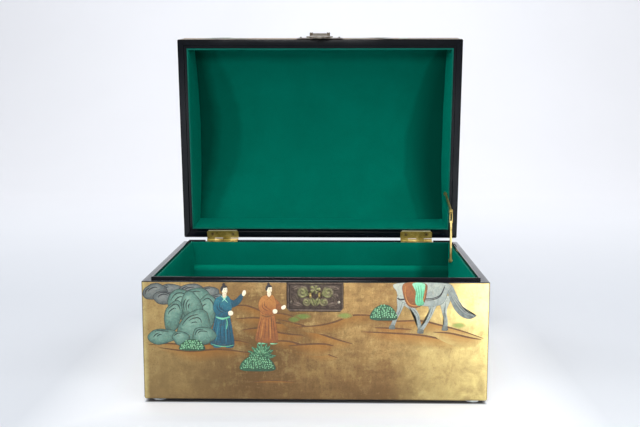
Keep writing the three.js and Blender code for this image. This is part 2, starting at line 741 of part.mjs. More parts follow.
const box = new THREE.Group();
box.add(...bodyBoards(), ...bodyLiners(), ...bodyLining());
box.add(ledge("ledge_front", -1), ledge("ledge_back", 1), ...feet());
box.add(...fixedHingePieces(), ...bodyPlate());
box.add(staple("latch_staple_left", -STAPLE_X), staple("latch_staple_right", STAPLE_X));
box.add(lidGroup(), ...foldingStay());

// The origin is the middle of the whole outline, lid open, on the surface it stands on.
const middle = new THREE.Box3().setFromObject(box, true).getCenter(new THREE.Vector3());
box.position.y = -middle.y;

export default box;
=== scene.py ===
"""Looks for a lacquered jewelry box: gold-leaf boards with painted scenery, black lacquer rims,
green velvet linings, cast latch plates, brass hinges and a folding brass stay.

Lengths in the piece tables are millimetres in the box's own frame (x to the right, y from front
to back about the middle of the box, z up from the table); every mesh is made in metres.
"""
import json
import math
import random

import bmesh
import bpy
from mathutils import Matrix, Vector, noise


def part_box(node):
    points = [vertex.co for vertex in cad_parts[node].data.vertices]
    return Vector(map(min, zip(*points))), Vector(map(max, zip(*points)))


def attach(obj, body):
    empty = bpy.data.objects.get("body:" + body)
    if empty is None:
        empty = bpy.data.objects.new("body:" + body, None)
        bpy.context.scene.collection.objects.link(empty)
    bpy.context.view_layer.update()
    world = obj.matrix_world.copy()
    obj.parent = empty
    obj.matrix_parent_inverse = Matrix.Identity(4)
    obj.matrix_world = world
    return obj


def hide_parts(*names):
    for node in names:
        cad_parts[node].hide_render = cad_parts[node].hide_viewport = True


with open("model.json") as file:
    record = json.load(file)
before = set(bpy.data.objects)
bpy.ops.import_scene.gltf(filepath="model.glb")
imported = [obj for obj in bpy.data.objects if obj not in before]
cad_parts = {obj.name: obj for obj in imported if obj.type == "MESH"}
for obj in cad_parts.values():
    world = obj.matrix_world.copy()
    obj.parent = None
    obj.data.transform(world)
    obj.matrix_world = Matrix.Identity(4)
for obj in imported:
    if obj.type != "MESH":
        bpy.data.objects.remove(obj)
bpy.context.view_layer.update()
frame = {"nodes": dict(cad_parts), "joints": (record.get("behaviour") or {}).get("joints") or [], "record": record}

# ---- driving dimensions, read from the frame ----
MM = 0.001
BACK_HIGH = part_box("back_panel")[1]
FRONT_LOW, FRONT_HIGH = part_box("front_panel")
WIDTH = (FRONT_HIGH.x - FRONT_LOW.x) / MM
DEPTH = (BACK_HIGH.y - FRONT_LOW.y) / MM
MIDDLE_Y = (BACK_HIGH.y + FRONT_LOW.y) / 2
FLOOR_Z = FRONT_LOW.z / MM
RIM_Z = FRONT_HIGH.z / MM
BOARD = (FRONT_HIGH.y - FRONT_LOW.y) / MM
LIP_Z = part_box("liner_front")[1].z / MM
LINER_OUT, LINER_IN = ((corner.y - FRONT_LOW.y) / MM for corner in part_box("liner_front"))
LINING_OUT, LINING_IN = ((corner.y - FRONT_LOW.y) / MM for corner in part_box("lining_front"))
LINING_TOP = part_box("lining_front")[1].z / MM
BASE_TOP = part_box("base_panel")[1].z / MM
LEDGE_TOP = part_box("ledge_back")[1].z / MM
LEDGE_THICKNESS = (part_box("ledge_back")[1].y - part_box("ledge_back")[0].y) / MM
HALF_W, HALF_D = WIDTH / 2, DEPTH / 2

# ---- the lid's own section, as in the CAD ----
LID_GAP = 2
LID_Z = RIM_Z + LID_GAP
LID_BOARD = 10.1
LID_FLAT = 7
REBATE = 2.5
LID_WALL = 56
LID_HEIGHT = 88
DOME_BOARD = 8
DOME_RISE = LID_HEIGHT - LID_WALL
DOME_RADIUS = (HALF_D**2 + DOME_RISE**2) / (2 * DOME_RISE)
DOME_CENTRE = LID_Z + LID_HEIGHT - DOME_RADIUS
LID_LINING_Z = LID_Z + 1
DOME_ARC = 2 * DOME_RADIUS * math.asin(HALF_D / DOME_RADIUS)  # over the dome, front to back
LINING_ARC = DOME_RADIUS - DOME_BOARD - 0.6  # outer face of the dome's lining

HASP_RISE = 9  # hasp pin above the lid's rim
HASP_OUT = 4.7  # hasp pin in front of the lid's face

HINGE = next(j for j in frame["joints"] if j["name"] == "lid_hinge")
AXIS = Vector(HINGE["pos_m"])
OPEN = math.radians(HINGE["range_deg"][1])
SWING_OPEN = Matrix.Translation(AXIS) @ Matrix.Rotation(-OPEN, 4, "X") @ Matrix.Translation(-AXIS)


# ---- colours ----
def srgb(r, g, b):
    """An 8-bit display colour as the linear colour that a shader takes."""
    def linear(c):
        c /= 255
        return c / 12.92 if c <= 0.04045 else ((c + 0.055) / 1.055) ** 2.4
    return (linear(r), linear(g), linear(b), 1)


# ---- shader nodes ----
class Shader:
    """A material with short calls for the few node types used here."""

    def __init__(self, name, **settings):
        self.material = bpy.data.materials.new(name)
        self.material.use_nodes = True
        self.tree = self.material.node_tree
        self.bsdf = self.tree.nodes["Principled BSDF"]
        coordinates = self.tree.nodes.new("ShaderNodeTexCoord")
        self.place = coordinates.outputs["Object"]
        for key, value in settings.items():
            self.bsdf.inputs[key.replace("_", " ")].default_value = value

    def add(self, kind, links=(), **settings):
        made = self.tree.nodes.new(kind)
        for key, value in settings.items():
            setattr(made, key, value)
        for key, value in dict(links).items():
            self.set(made.inputs[key], value)
        return made

    def set(self, socket, value):
        if isinstance(value, bpy.types.NodeSocket):
            self.tree.links.new(value, socket)
        else:
            socket.default_value = value

    def noise(self, scale, detail=3, roughness=0.5, distortion=0, at=None):
        made = self.add("ShaderNodeTexNoise", {
            "Vector": at or self.place, "Scale": scale, "Detail": detail,
            "Roughness": roughness, "Distortion": distortion})
        return made.outputs["Fac"]

    def ramp(self, fac, *stops):
        made = self.add("ShaderNodeValToRGB", {"Fac": fac})
        elements = made.color_ramp.elements
        while len(elements) < len(stops):
            elements.new(0.5)
        for element, (at, color) in zip(elements, stops):
            element.position = at
            element.color = color
        return made.outputs["Color"]

    def span(self, value, low, high, out_low, out_high):
        made = self.add("ShaderNodeMapRange", {
            "Value": value, "From Min": low, "From Max": high,
            "To Min": out_low, "To Max": out_high})
        return made.outputs["Result"]

    def math(self, operation, a, b):
        made = self.add("ShaderNodeMath", operation=operation)
        self.set(made.inputs[0], a)
        self.set(made.inputs[1], b)
        return made.outputs[0]

    def times(self, a, b):
        return self.math("MULTIPLY", a, b)

    def plus(self, a, b):
        return self.math("ADD", a, b)

    def mix(self, fac, a, b):
        made = self.add("ShaderNodeMix", data_type="RGBA")
        self.set(made.inputs["Factor"], fac)
        self.set(made.inputs[6], a)
        self.set(made.inputs[7], b)
        return made.outputs[2]

    def tint(self, base, value, low, high, out_low, out_high, color):
        """Mixes a display colour in, by where the value lies between low and high."""
        return self.mix(self.span(value, low, high, out_low, out_high), base, srgb(*color))

    def xyz(self):
        return self.add("ShaderNodeSeparateXYZ", {"Vector": self.place}).outputs

    def tone(self, name):
        return self.add("ShaderNodeAttribute", attribute_name=name).outputs["Fac"]

    def bump(self, height, distance, strength):
        links = {"Height": height, "Distance": distance, "Strength": strength}
        return self.add("ShaderNodeBump", links).outputs["Normal"]

    def done(self, **links):
        for key, value in links.items():
            self.set(self.bsdf.inputs[key.replace("_", " ")], value)
        return self.material


def cracks(shader, scale, width):
    """1 along a net of fine cracks, 0 between them."""
    wander = shader.add("ShaderNodeTexNoise",
                        {"Vector": shader.place, "Scale": scale * 0.6, "Detail": 3})
    moved = shader.mix(0.06, shader.place, wander.outputs["Color"])
    net = shader.add("ShaderNodeTexVoronoi", {"Vector": moved, "Scale": scale},
                     feature="DISTANCE_TO_EDGE")
    return shader.span(net.outputs["Distance"], 0, width, 1, 0)


def gold_leaf(name="gold_leaf", wash=None):
    """Aged leaf over brown ground; a wash of thin paint shows where the mesh has tone."""
    s = Shader(name, Coat_Weight=0.3, Coat_Roughness=0.25)
    cloud = s.noise(11, 6, 0.6, 0.5)
    weave = s.add("ShaderNodeMapping", {"Vector": s.place, "Scale": (1, 1, 0.28)}).outputs[0]
    drift = s.add("ShaderNodeMapping", {"Vector": s.place, "Scale": (0.3, 0.3, 1)}).outputs[0]
    streak = s.times(s.plus(s.noise(260, 4, 0.7, at=weave), s.noise(210, 4, 0.7, at=drift)), 0.5)
    patch = s.noise(42, 6, 0.68, 0.4)
    grain = s.noise(620, 4, 0.65)
    base = s.ramp(cloud, (0.30, srgb(100, 74, 40)), (0.45, srgb(130, 100, 58)),
                  (0.58, srgb(156, 125, 76)), (0.75, srgb(178, 149, 92)))
    for value, low, high, most, color in (
            (patch, 0.5, 0.68, 0.6, (96, 70, 38)), (patch, 0.46, 0.32, 0.35, (204, 180, 120)),
            (streak, 0.52, 0.62, 0.5, (96, 72, 40)), (streak, 0.46, 0.38, 0.4, (190, 164, 104)),
            (grain, 0.52, 0.68, 0.45, (84, 60, 32))):
        base = s.tint(base, value, low, high, 0, most, color)

    # Darker towards the table; a painted highlight makes the right of the front paler, and it is a little paler on
    # the left.
    x, y, z = s.xyz()
    inward = s.math("SUBTRACT", y, MIDDLE_Y)
    front = s.span(inward, (8 - HALF_D) * MM, (2 - HALF_D) * MM, 0, 1)
    base = s.tint(base, z, 70 * MM, 6 * MM, 0, 0.58, (88, 64, 34))
    painted_highlight = s.times(s.span(x, 0.42 * HALF_W * MM, 0.92 * HALF_W * MM, 0, 0.8), front)
    base = s.mix(s.times(painted_highlight, s.span(patch, 0.35, 0.62, 1, 0.4)), base, srgb(218, 202, 134))
    base = s.tint(base, x, -0.4 * HALF_W * MM, -0.9 * HALF_W * MM, 0, 0.2, (196, 172, 112))

    # Rubbed upright corners, and a dark line where the front's leaf ends.
    sideways, deep = s.math("ABSOLUTE", x, 0), s.math("ABSOLUTE", inward, 0)
    corner = s.times(s.span(sideways, (HALF_W - 6) * MM, (HALF_W - 2) * MM, 0, 1),
                     s.span(deep, (HALF_D - 6) * MM, (HALF_D - 2) * MM, 0, 1))
    corner = s.times(corner, s.span(deep, (HALF_D + 1) * MM, (HALF_D + 2) * MM, 1, 0))
    base = s.mix(s.times(corner, s.span(patch, 0.3, 0.6, 0.75, 0.3)), base, srgb(212, 196, 132))
    arris = s.span(sideways, (HALF_W - 1.1) * MM, (HALF_W - 0.5) * MM, 0, 0.8)
    base = s.mix(s.times(arris, front), base, srgb(78, 60, 34))
    net = cracks(s, 90, 0.02)
    base = s.mix(s.times(net, s.span(cloud, 0.4, 0.6, 0.05, 0.3)), base, srgb(84, 58, 28))
    shine = 0.7
    if wash:
        amount = s.times(s.tone("tone"), s.span(patch, 0.3, 0.6, 1.0, 0.7))
        base = s.mix(amount, base, srgb(*wash))
        shine = s.span(amount, 0, 1, 0.7, 0.35)
    lumps = s.math("SUBTRACT", s.plus(s.times(grain, 0.4), s.times(streak, 0.8)), s.times(net, 0.4))
    return s.done(Base_Color=base, Roughness=s.span(patch, 0.3, 0.7, 0.36, 0.52),
                  Metallic=shine, Normal=s.bump(lumps, 0.0004, 0.5))


def black_lacquer(name, gloss, dark, pale):
    s = Shader(name, Coat_Weight=0.3 * gloss, Coat_Roughness=0.06, Specular_IOR_Level=0.6 * gloss)
    dust = s.noise(160, 5, 0.7)
    wave = s.noise(22)
    return s.done(Base_Color=s.tint(srgb(*dark), dust, 0.52, 0.75, 0, 0.5, pale),
                  Roughness=s.span(wave, 0.3, 0.7, 0.09, 0.18),
                  Normal=s.bump(s.plus(wave, s.times(dust, 0.06)), 0.0003, 0.3))


SHADOW_BAND_HALF = 117  # how far above or below its middle a painted shadow band has moved by its arch


def green_velvet(name="green_velvet", crown=None, shadow_bands=()):
    """Short-pile velvet, painted paler as a highlight near the height called crown. Each painted
    shadow band has the places across the box, in millimetres, between which it is painted darker,
    how dark it gets, how much the band narrows towards its ends, and the height of its middle."""
    s = Shader(name, Sheen_Weight=0.5, Sheen_Roughness=0.4, Roughness=0.95,
               Sheen_Tint=(0.0, 0.60, 0.42, 1), Specular_IOR_Level=0.02)
    nap = s.noise(14, 5, 0.62, 0.2)
    pile = s.noise(1900, 2, 0.6)
    lint = s.noise(700, 2, 0.5)
    base = s.ramp(nap, (0.30, (0.0, 0.148, 0.100, 1)), (0.5, (0.0, 0.165, 0.112, 1)),
                  (0.72, (0.0, 0.185, 0.128, 1)))
    base = s.mix(s.span(pile, 0.35, 0.7, 0, 0.4), base, (0.0, 0.085, 0.058, 1))
    base = s.mix(s.span(lint, 0.74, 0.8, 0, 0.3), base, (0.05, 0.30, 0.22, 1))
    x, _, z = s.xyz()
    # Painted highlight: paler near the crown height.
    if crown:
        top = s.span(z, (crown - 6) * MM, (crown - 1) * MM, 0, 0.75)
        base = s.mix(top, base, (0.0, 0.29, 0.185, 1))
    # Painted shadows: each band darkens the velvet between its start and end.
    for start, end, depth, arch, middle in shadow_bands:
        off = s.math("DIVIDE", s.math("SUBTRACT", z, middle * MM), SHADOW_BAND_HALF * MM)
        shadow_x = s.plus(x, s.span(nap, 0.3, 0.7, -4 * MM, 4 * MM))
        shadow_x = s.plus(shadow_x, s.times(s.times(off, off), arch * MM))
        base = s.mix(s.span(shadow_x, start * MM, end * MM, 0, depth), base, (0.0, 0.045, 0.030, 1))
    height = s.plus(pile, s.times(nap, 1.5))
    return s.done(Base_Color=base, Normal=s.bump(height, 0.0005, 0.5))


def velvet_edge():
    s = Shader("velvet_edge", Sheen_Weight=0.4, Sheen_Roughness=0.4, Roughness=0.95,
               Sheen_Tint=(0.1, 0.75, 0.55, 1), Specular_IOR_Level=0.05)
    pile = s.noise(1500, 3, 0.6)
    base = s.ramp(pile, (0.35, (0.004, 0.11, 0.08, 1)), (0.7, (0.01, 0.18, 0.13, 1)))
    return s.done(Base_Color=base, Normal=s.bump(pile, 0.0004, 0.6))


def plated_brass(name, dark, mid, light, highlight_above=None):
    """Tarnished brass, with a painted highlight along its edge above a height in millimetres."""
    s = Shader(name, Metallic=0.8)
    tarnish = s.noise(90, 5, 0.6, 0.3)
    scratch = s.noise(900, 2, 0.5)
    base = s.ramp(tarnish, (0.32, srgb(*dark)), (0.5, srgb(*mid)), (0.7, srgb(*light)))
    # Painted highlight along the top edge.
    if highlight_above:
        base = s.tint(base, s.xyz()["Z"], (highlight_above - 0.3) * MM, highlight_above * MM, 0, 1,
                      (226, 222, 190))
    return s.done(Base_Color=base, Roughness=s.span(tarnish, 0.3, 0.7, 0.5, 0.32),
                  Normal=s.bump(s.plus(scratch, tarnish), 0.00012, 0.3))


def old_bronze():
    """Dark purplish patina, greener and brighter where the relief is rubbed."""
    s = Shader("old_bronze")
    height = s.tone("height")
    spots = s.noise(330, 5, 0.65)
    field = s.tint(srgb(68, 57, 52), spots, 0.35, 0.7, 0, 1, (102, 88, 76))
    rubbed = s.tint(srgb(98, 104, 62), spots, 0.3, 0.7, 0, 1, (158, 156, 104))
    base = s.mix(s.times(s.span(height, 0.35, 0.95, 0, 1), s.tone("rub")), field, rubbed)
    base = s.tint(base, height, 0.0, 0.3, 0.8, 0, (38, 31, 27))
    return s.done(Base_Color=base, Metallic=0.65, Roughness=s.span(spots, 0.3, 0.7, 0.5, 0.33),
                  Normal=s.bump(spots, 0.0003, 0.5))


def white_bronze():
    """Pale worn metal, darker at the neck of the hasp's tongue."""
    s = Shader("white_bronze")
    spots = s.noise(260, 5, 0.65)
    base = s.tint(srgb(102, 92, 80), spots, 0.38, 0.66, 0, 1, (178, 168, 150))
    pin = next(j for j in frame["joints"] if j["name"] == "hasp_hinge")["pos_m"][1]
    base = s.tint(base, s.xyz()["Y"], pin - 11 * MM, pin - 6 * MM, 0, 0.75, (88, 78, 60))
    return s.done(Base_Color=base, Metallic=0.8, Roughness=s.span(spots, 0.3, 0.7, 0.48, 0.3),
                  Normal=s.bump(spots, 0.00025, 0.5))


def clear_rubber():
    s = Shader("clear_rubber", Transmission_Weight=0.3, IOR=1.46)
    milk = s.noise(240)
    return s.done(Base_Color=s.tint(srgb(214, 224, 230), milk, 0.35, 0.7, 0, 1, (240, 245, 248)),
                  Roughness=s.span(milk, 0.3, 0.7, 0.16, 0.3), Normal=s.bump(milk, 0.0002, 0.2))


def paint(name, dark, mid, light):
    """Brushed lacquer paint whose shade follows the mesh's tone, thin enough to show its cracks."""
    s = Shader("paint_" + name, Coat_Weight=0.3, Coat_Roughness=0.25)
    brush = s.noise(210, 5, 0.7, 1.2)
    grain = s.noise(900, 3, 0.6)
    shade = s.plus(s.tone("tone"), s.span(brush, 0.3, 0.7, -0.16, 0.16))
    base = s.ramp(shade, (0.05, srgb(*dark)), (0.5, srgb(*mid)), (0.95, srgb(*light)))
    base = s.mix(s.times(cracks(s, 70, 0.03), 0.25), base, srgb(70, 52, 30))
    base = s.tint(base, grain, 0.6, 0.75, 0, 0.45, (150, 120, 74))
    return s.done(Base_Color=base, Roughness=s.span(brush, 0.3, 0.7, 0.38, 0.55), Metallic=0.05,
                  Normal=s.bump(s.plus(brush, grain), 0.0002, 0.4))


GLOW_REACH = 105  # how far the paper's painted glow reaches out from the box
GLOW_STRENGTH = 0.34


def studio(name):
    """Seamless paper. Painted shade makes it a little greyer on the table and to the left; it glows
    around the box with painted light, as on a light table; a painted shadow darkens it under the box."""
    s = Shader(name, Emission_Color=(1, 0.975, 0.935, 1))
    soft = s.noise(1.5)
    x, y, _ = s.xyz()
    # Painted shade: greyer on the table and to the left.
    base = s.tint(srgb(222, 226, 232), y, 0.3, 1.6, 0, 1, (243, 244, 248))
    base = s.tint(base, x, 0.35, -0.45, 0, 0.08, (190, 196, 204))
    base = s.tint(base, soft, 0.35, 0.65, 0, 0.05, (180, 184, 190))
    beside = s.math("SUBTRACT", s.math("ABSOLUTE", x, 0), HALF_W * MM)
    inward = s.math("ABSOLUTE", s.math("SUBTRACT", y, MIDDLE_Y), 0)
    away = s.math("MAXIMUM", beside, s.math("SUBTRACT", inward, HALF_D * MM))
    # Painted light: the paper glows near the box.
    glow = s.times(s.span(away, -1 * MM, 1 * MM, 0, 1),
                   s.span(away, 4 * MM, GLOW_REACH * MM, GLOW_STRENGTH, 0))
    glow = s.times(glow, s.span(y, 0.08, 0.2, 1, 0))  # none behind the box
    base = s.tint(base, away, -0.5 * MM, -4 * MM, 0, 0.92, (40, 34, 32))  # painted shadow under the box
    return s.done(Base_Color=base, Roughness=0.7, Emission_Strength=glow)


GOLD = gold_leaf()
LACQUER = black_lacquer("black_lacquer", 0.4, (6, 9, 15), (20, 26, 36))
EDGE_LACQUER = black_lacquer("edge_lacquer", 0.12, (3, 3, 5), (10, 10, 14))
VELVET = green_velvet()
# Painted shadows: dark bands near both ends of the dome's velvet and on the right of the back lining, where the
# walls' shade falls.
DOME_VELVET = green_velvet("dome_velvet", shadow_bands=(
    (-101, -109, 0.3, 32, 252), (-127, -141, 0.78, 14, 270),
    (105, 110, 0.33, -26, 218), (114, 136, 0.66, -20, 224)))
BACK_VELVET = green_velvet("back_velvet", shadow_bands=((116, 134, 0.6, 0, 0),))
# The ledges' velvet carries a painted highlight along the crown and a painted shadow band on the right.
HIGHLIT_SHADED_VELVET = green_velvet("highlit_shaded_velvet", LEDGE_TOP, ((110, 124, 0.75, 0, 0),))
VELVET_EDGE = velvet_edge()
BRASS = plated_brass("plated_brass", (132, 112, 54), (190, 164, 98), (228, 210, 150))
OLD_BRASS = plated_brass("old_brass", (84, 70, 38), (122, 104, 60), (168, 150, 96))
# The upper hinge leaves' brass is darker and more olive, a painted reflection of the velvet, with a painted
# highlight along its top edge.
LEAF_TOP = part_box("hinge_left_upper_leaf")[1].z / MM
LEAF_BRASS = plated_brass("leaf_brass", (96, 86, 34), (146, 130, 62), (198, 180, 108),
                          LEAF_TOP - 0.8)
BRONZE = old_bronze()
SILVERED = white_bronze()
RUBBER = clear_rubber()
EARTH = gold_leaf("wash_earth", (152, 98, 24))
MOSS = gold_leaf("wash_moss", (92, 142, 62))
TEAL = paint("teal", (32, 54, 50), (84, 124, 110), (138, 176, 156))
SLATE = paint("slate", (38, 42, 44), (94, 102, 100), (142, 146, 138))
BLUE = paint("blue", (2, 36, 50), (4, 82, 104), (34, 122, 138))
ORANGE = paint("orange", (86, 44, 12), (150, 88, 32), (188, 128, 58))
GREEN = paint("green", (12, 44, 32), (44, 104, 70), (150, 208, 160))
JADE = paint("jade", (44, 110, 80), (98, 184, 140), (156, 222, 186))
GREY = paint("grey", (62, 72, 76), (132, 142, 138), (184, 188, 172))
BROWN = paint("brown", (52, 28, 4), (104, 62, 14), (150, 98, 36))
SKIN = paint("skin", (176, 140, 104), (238, 220, 186), (250, 240, 214))
INK = paint("ink", (14, 14, 20), (36, 34, 40), (70, 66, 70))


# ---- meshes ----
def to_frame(x, y, z):
    """Millimetres about the middle of the box to metres in the frame."""
    return Vector((x * MM, MIDDLE_Y + y * MM, z * MM))


def shut(x, y, z):
    """A place on the lid, given where it is with the lid shut."""
    return SWING_OPEN @ to_frame(x, y, z)


def in_scene(bm, name, materials):
    """Turns mesh-building data into a smooth-shaded object in the scene."""
    mesh = bpy.data.meshes.new(name)
    bm.to_mesh(mesh)
    bm.free()
    for material in materials:
        mesh.materials.append(material)
    mesh.shade_smooth()
    made = bpy.data.objects.new(name, mesh)
    bpy.context.scene.collection.objects.link(made)
    return made


def finished(bm, name, materials, body, stands_for=(), crease=35):
    """Welds, faces outwards and shades a mesh, then puts it in the scene on its body."""
    bmesh.ops.remove_doubles(bm, verts=bm.verts, dist=2e-6)
    bmesh.ops.dissolve_degenerate(bm, edges=bm.edges, dist=1e-6)
    bmesh.ops.recalc_face_normals(bm, faces=bm.faces)
    piece = in_scene(bm, name, materials)
    piece.data.set_sharp_from_angle(angle=math.radians(crease))
    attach(piece, body)
    if stands_for:
        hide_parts(*stands_for)
    return piece


def loft(rings, segment_materials=None, capped=True, bm=None):
    """Joins closed rings of points, one after another, into a tube with flat ends."""
    bm = bm or bmesh.new()
    rows = [[bm.verts.new(p) for p in ring] for ring in rings]
    count = len(rows[0])
    for a, b in zip(rows, rows[1:]):
        for i in range(count):
            j = (i + 1) % count
            face = bm.faces.new((a[i], a[j], b[j], b[i]))
            if segment_materials:
                face.material_index = segment_materials[i]
    if capped:
        for row in (rows[0], rows[-1]):
            cap = bm.faces.new(row)
            if segment_materials:
                cap.material_index = min(1, max(segment_materials))
    return bm


def close_slab(bm, upper, lower):
    """Faces of a closed slab between two grids of vertices."""
    rows, columns = len(upper), len(upper[0])
    for j in range(rows - 1):
        for i in range(columns - 1):
            bm.faces.new((upper[j][i], upper[j][i + 1], upper[j + 1][i + 1], upper[j + 1][i]))
            bm.faces.new((lower[j][i], lower[j + 1][i], lower[j + 1][i + 1], lower[j][i + 1]))
    rim = [(0, i) for i in range(columns)]
    rim += [(j, columns - 1) for j in range(1, rows)]
    rim += [(rows - 1, i) for i in range(columns - 2, -1, -1)]
    rim += [(j, 0) for j in range(rows - 2, 0, -1)]
    for (j, i), (n, m) in zip(rim, rim[1:] + rim[:1]):
        bm.faces.new((upper[j][i], lower[j][i], lower[n][m], upper[n][m]))


def arc(cx, cy, radius, start, end, steps):
    """Points of a circular arc, angles in degrees."""
    angles = [math.radians(start + (end - start) * i / steps) for i in range(steps + 1)]
    return [(cx + radius * math.cos(a), cy + radius * math.sin(a)) for a in angles]


SIDES = {"front": 0, "right": 1, "back": 2, "left": 3}


def half_length(side):
    return HALF_W if SIDES[side] % 2 == 0 else HALF_D


def side_point(side, along, inset, z, place):
    """A point on one side of the box: along it from its middle, and inwards from its face."""
    x, y = {"front": (along, inset - HALF_D), "right": (HALF_W - inset, along),
            "back": (-along, HALF_D - inset), "left": (inset - HALF_W, -along)}[side]
    return place(x, y, z)


def side_board(side, profile, corner, stations, place, shape=None):
    """Rings for a mitred board with rounded outside corners.

    profile is a closed list of (inset, height); a height may be a function of y. shape, if
    given, moves a point: shape(along, inset, z) returns the three again."""
    half = half_length(side)
    arcs = [-45, -30, -15] if corner else []
    marks = [("arc", a) for a in arcs]
    marks += [("at", s) for s in [-half, *stations, half]]
    marks += [("arc", -a) for a in reversed(arcs)]
    rings = []
    for kind, value in marks:
        ring = []
        for inset, height in profile:
            reach = half - max(corner, inset)
            along, depth = max(-reach, min(reach, value)), inset
            if kind == "arc":
                along = math.copysign(reach, value)
                if inset < corner:
                    angle = math.radians(abs(value))
                    along += math.copysign((corner - inset) * math.sin(angle), value)
                    depth = corner - (corner - inset) * math.cos(angle)
            z = height
            if callable(height):
                z = height(side_point(side, along, depth, 0, lambda x, y, _: y))
            if shape:
                along, depth, z = shape(along, depth, z)
            ring.append(side_point(side, along, depth, z, place))
        rings.append(ring)
    return rings


def steps(start, end, size):
    """Evenly spaced values strictly between start and end."""
    count = max(1, round((end - start) / size))
    return [start + (end - start) * i / count for i in range(1, count)]


def span_values(low, high, size):
    return [low, *steps(low, high, size), high]


# ---- body boards ----
BOTTOM_ROUND = 2.6
RIM_ROUND = 0.7
CORNER = 1.6
LINING_FOOT = BASE_TOP + 0.3


def body_boards():
    bottom = arc(BOTTOM_ROUND, FLOOR_Z + BOTTOM_ROUND, BOTTOM_ROUND, 270, 180, 6)
    rim = arc(RIM_ROUND, RIM_Z - RIM_ROUND, RIM_ROUND, 180, 90, 3)
    inner = arc(BOARD - 0.3, RIM_Z - 0.3, 0.3, 90, 0, 2)
    profile = bottom + rim + inner + [(BOARD, FLOOR_Z)]
    gilt = [0] * len(bottom) + [1] * (len(profile) - len(bottom))
    for side in SIDES:
        bm = loft(side_board(side, profile, CORNER, [], to_frame), gilt)
        finished(bm, side + "_board", [GOLD, LACQUER], "box", [side + "_panel"])


def rounded_top(outer, inner, z):
    """Section of a board's top edge with both its arrises rounded."""
    return (arc(outer + 0.7, z - 0.7, 0.7, 180, 90, 3)
            + arc(inner - 0.7, z - 0.7, 0.7, 90, 0, 3))


def body_liners():
    """The black lip, sunk under the two lower hinge leaves."""
    top = rounded_top(LINER_OUT, LINER_IN, LIP_Z)
    profile = [(LINER_OUT, LINING_FOOT)] + top + [(LINER_IN, LINING_FOOT)]
    sunk = [(inset, min(z, RIM_Z - 0.8)) for inset, z in profile]
    for side in SIDES:
        rings = side_board(side, profile, 0, [], to_frame)
        if side == "back":
            marks = []
            for name in ("hinge_right_lower_leaf", "hinge_left_lower_leaf"):
                low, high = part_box(name)
                marks += [-high.x / MM - 0.3, -low.x / MM + 0.3]
            flat = [m for m in marks for _ in (0, 1)]
            full = side_board(side, profile, 0, flat, to_frame)
            cut = side_board(side, sunk, 0, flat, to_frame)
            use = [0, 0, 1, 1, 0, 0, 1, 1, 0, 0]
            rings = [(cut if u else full)[i] for i, u in enumerate(use)]
        finished(loft(rings), side + "_lip", [LACQUER], "box", ["liner_" + side])


# ---- velvet ----
def velvet_piece(bm, name, piles, body, node):
    return finished(bm, name, piles, body, [node], 60)


def ripple(point, size, height):
    """A smooth random swell, in millimetres, at a place in millimetres."""
    return height * noise.noise(Vector(point) / size)


def left_corner_swell(along, z):
    """The left lining stands away from its board near the back corner, more so further down."""
    near = math.exp(-(((HALF_D - LINING_IN) + along) / 11) ** 2)
    down = max(0.0, min(1.0, (LINING_TOP - z) / 24))
    return 3.4 * near * down


def body_lining():
    top = rounded_top(LINING_OUT, LINING_IN, LINING_TOP)
    down = [(LINING_IN, z) for z in reversed(steps(LINING_FOOT, LINING_TOP - 0.8, 6))]
    profile = [(LINING_OUT, LINING_FOOT)] + top + down + [(LINING_IN, LINING_FOOT)]
    edge = [0] + [1] * (len(top) - 1) + [0] * (len(down) + 2)
    for side in SIDES:
        def soft(along, inset, z):
            if inset < LINING_IN - 0.5:
                return along, inset, z
            if side == "left":
                inset += left_corner_swell(along, z)
            return along, inset + ripple((along, z, 31 * SIDES[side]), 34, 0.35), z

        half = half_length(side) - LINING_IN
        bm = loft(side_board(side, profile, 0, steps(-half, half, 7), to_frame, soft), edge)
        pile = BACK_VELVET if side == "back" else VELVET
        velvet_piece(bm, side + "_velvet", [pile, VELVET_EDGE], "box", "lining_" + side)


def floor_velvet():
    low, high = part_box("lining_floor")
    x1, y1 = high.x / MM, (high.y - MIDDLE_Y) / MM
    base, top = low.z / MM, high.z / MM

    def height(x, y):
        rounded = min(1.0, min(x1 - abs(x), y1 - abs(y)) / 2.0)
        thick = (top - base) * math.sqrt(max(0.05, 1 - (1 - rounded) ** 2))
        return base + thick + ripple((x, y, 0), 40, 0.25)

    xs, ys = span_values(-x1, x1, 6), span_values(-y1, y1, 6)
    bm = bmesh.new()
    upper = [[bm.verts.new(to_frame(x, y, height(x, y))) for x in xs] for y in ys]
    lower = [[bm.verts.new(to_frame(x, y, base)) for x in xs] for y in ys]
    close_slab(bm, upper, lower)
    piece = velvet_piece(bm, "floor_velvet", [VELVET], "box", "lining_floor")


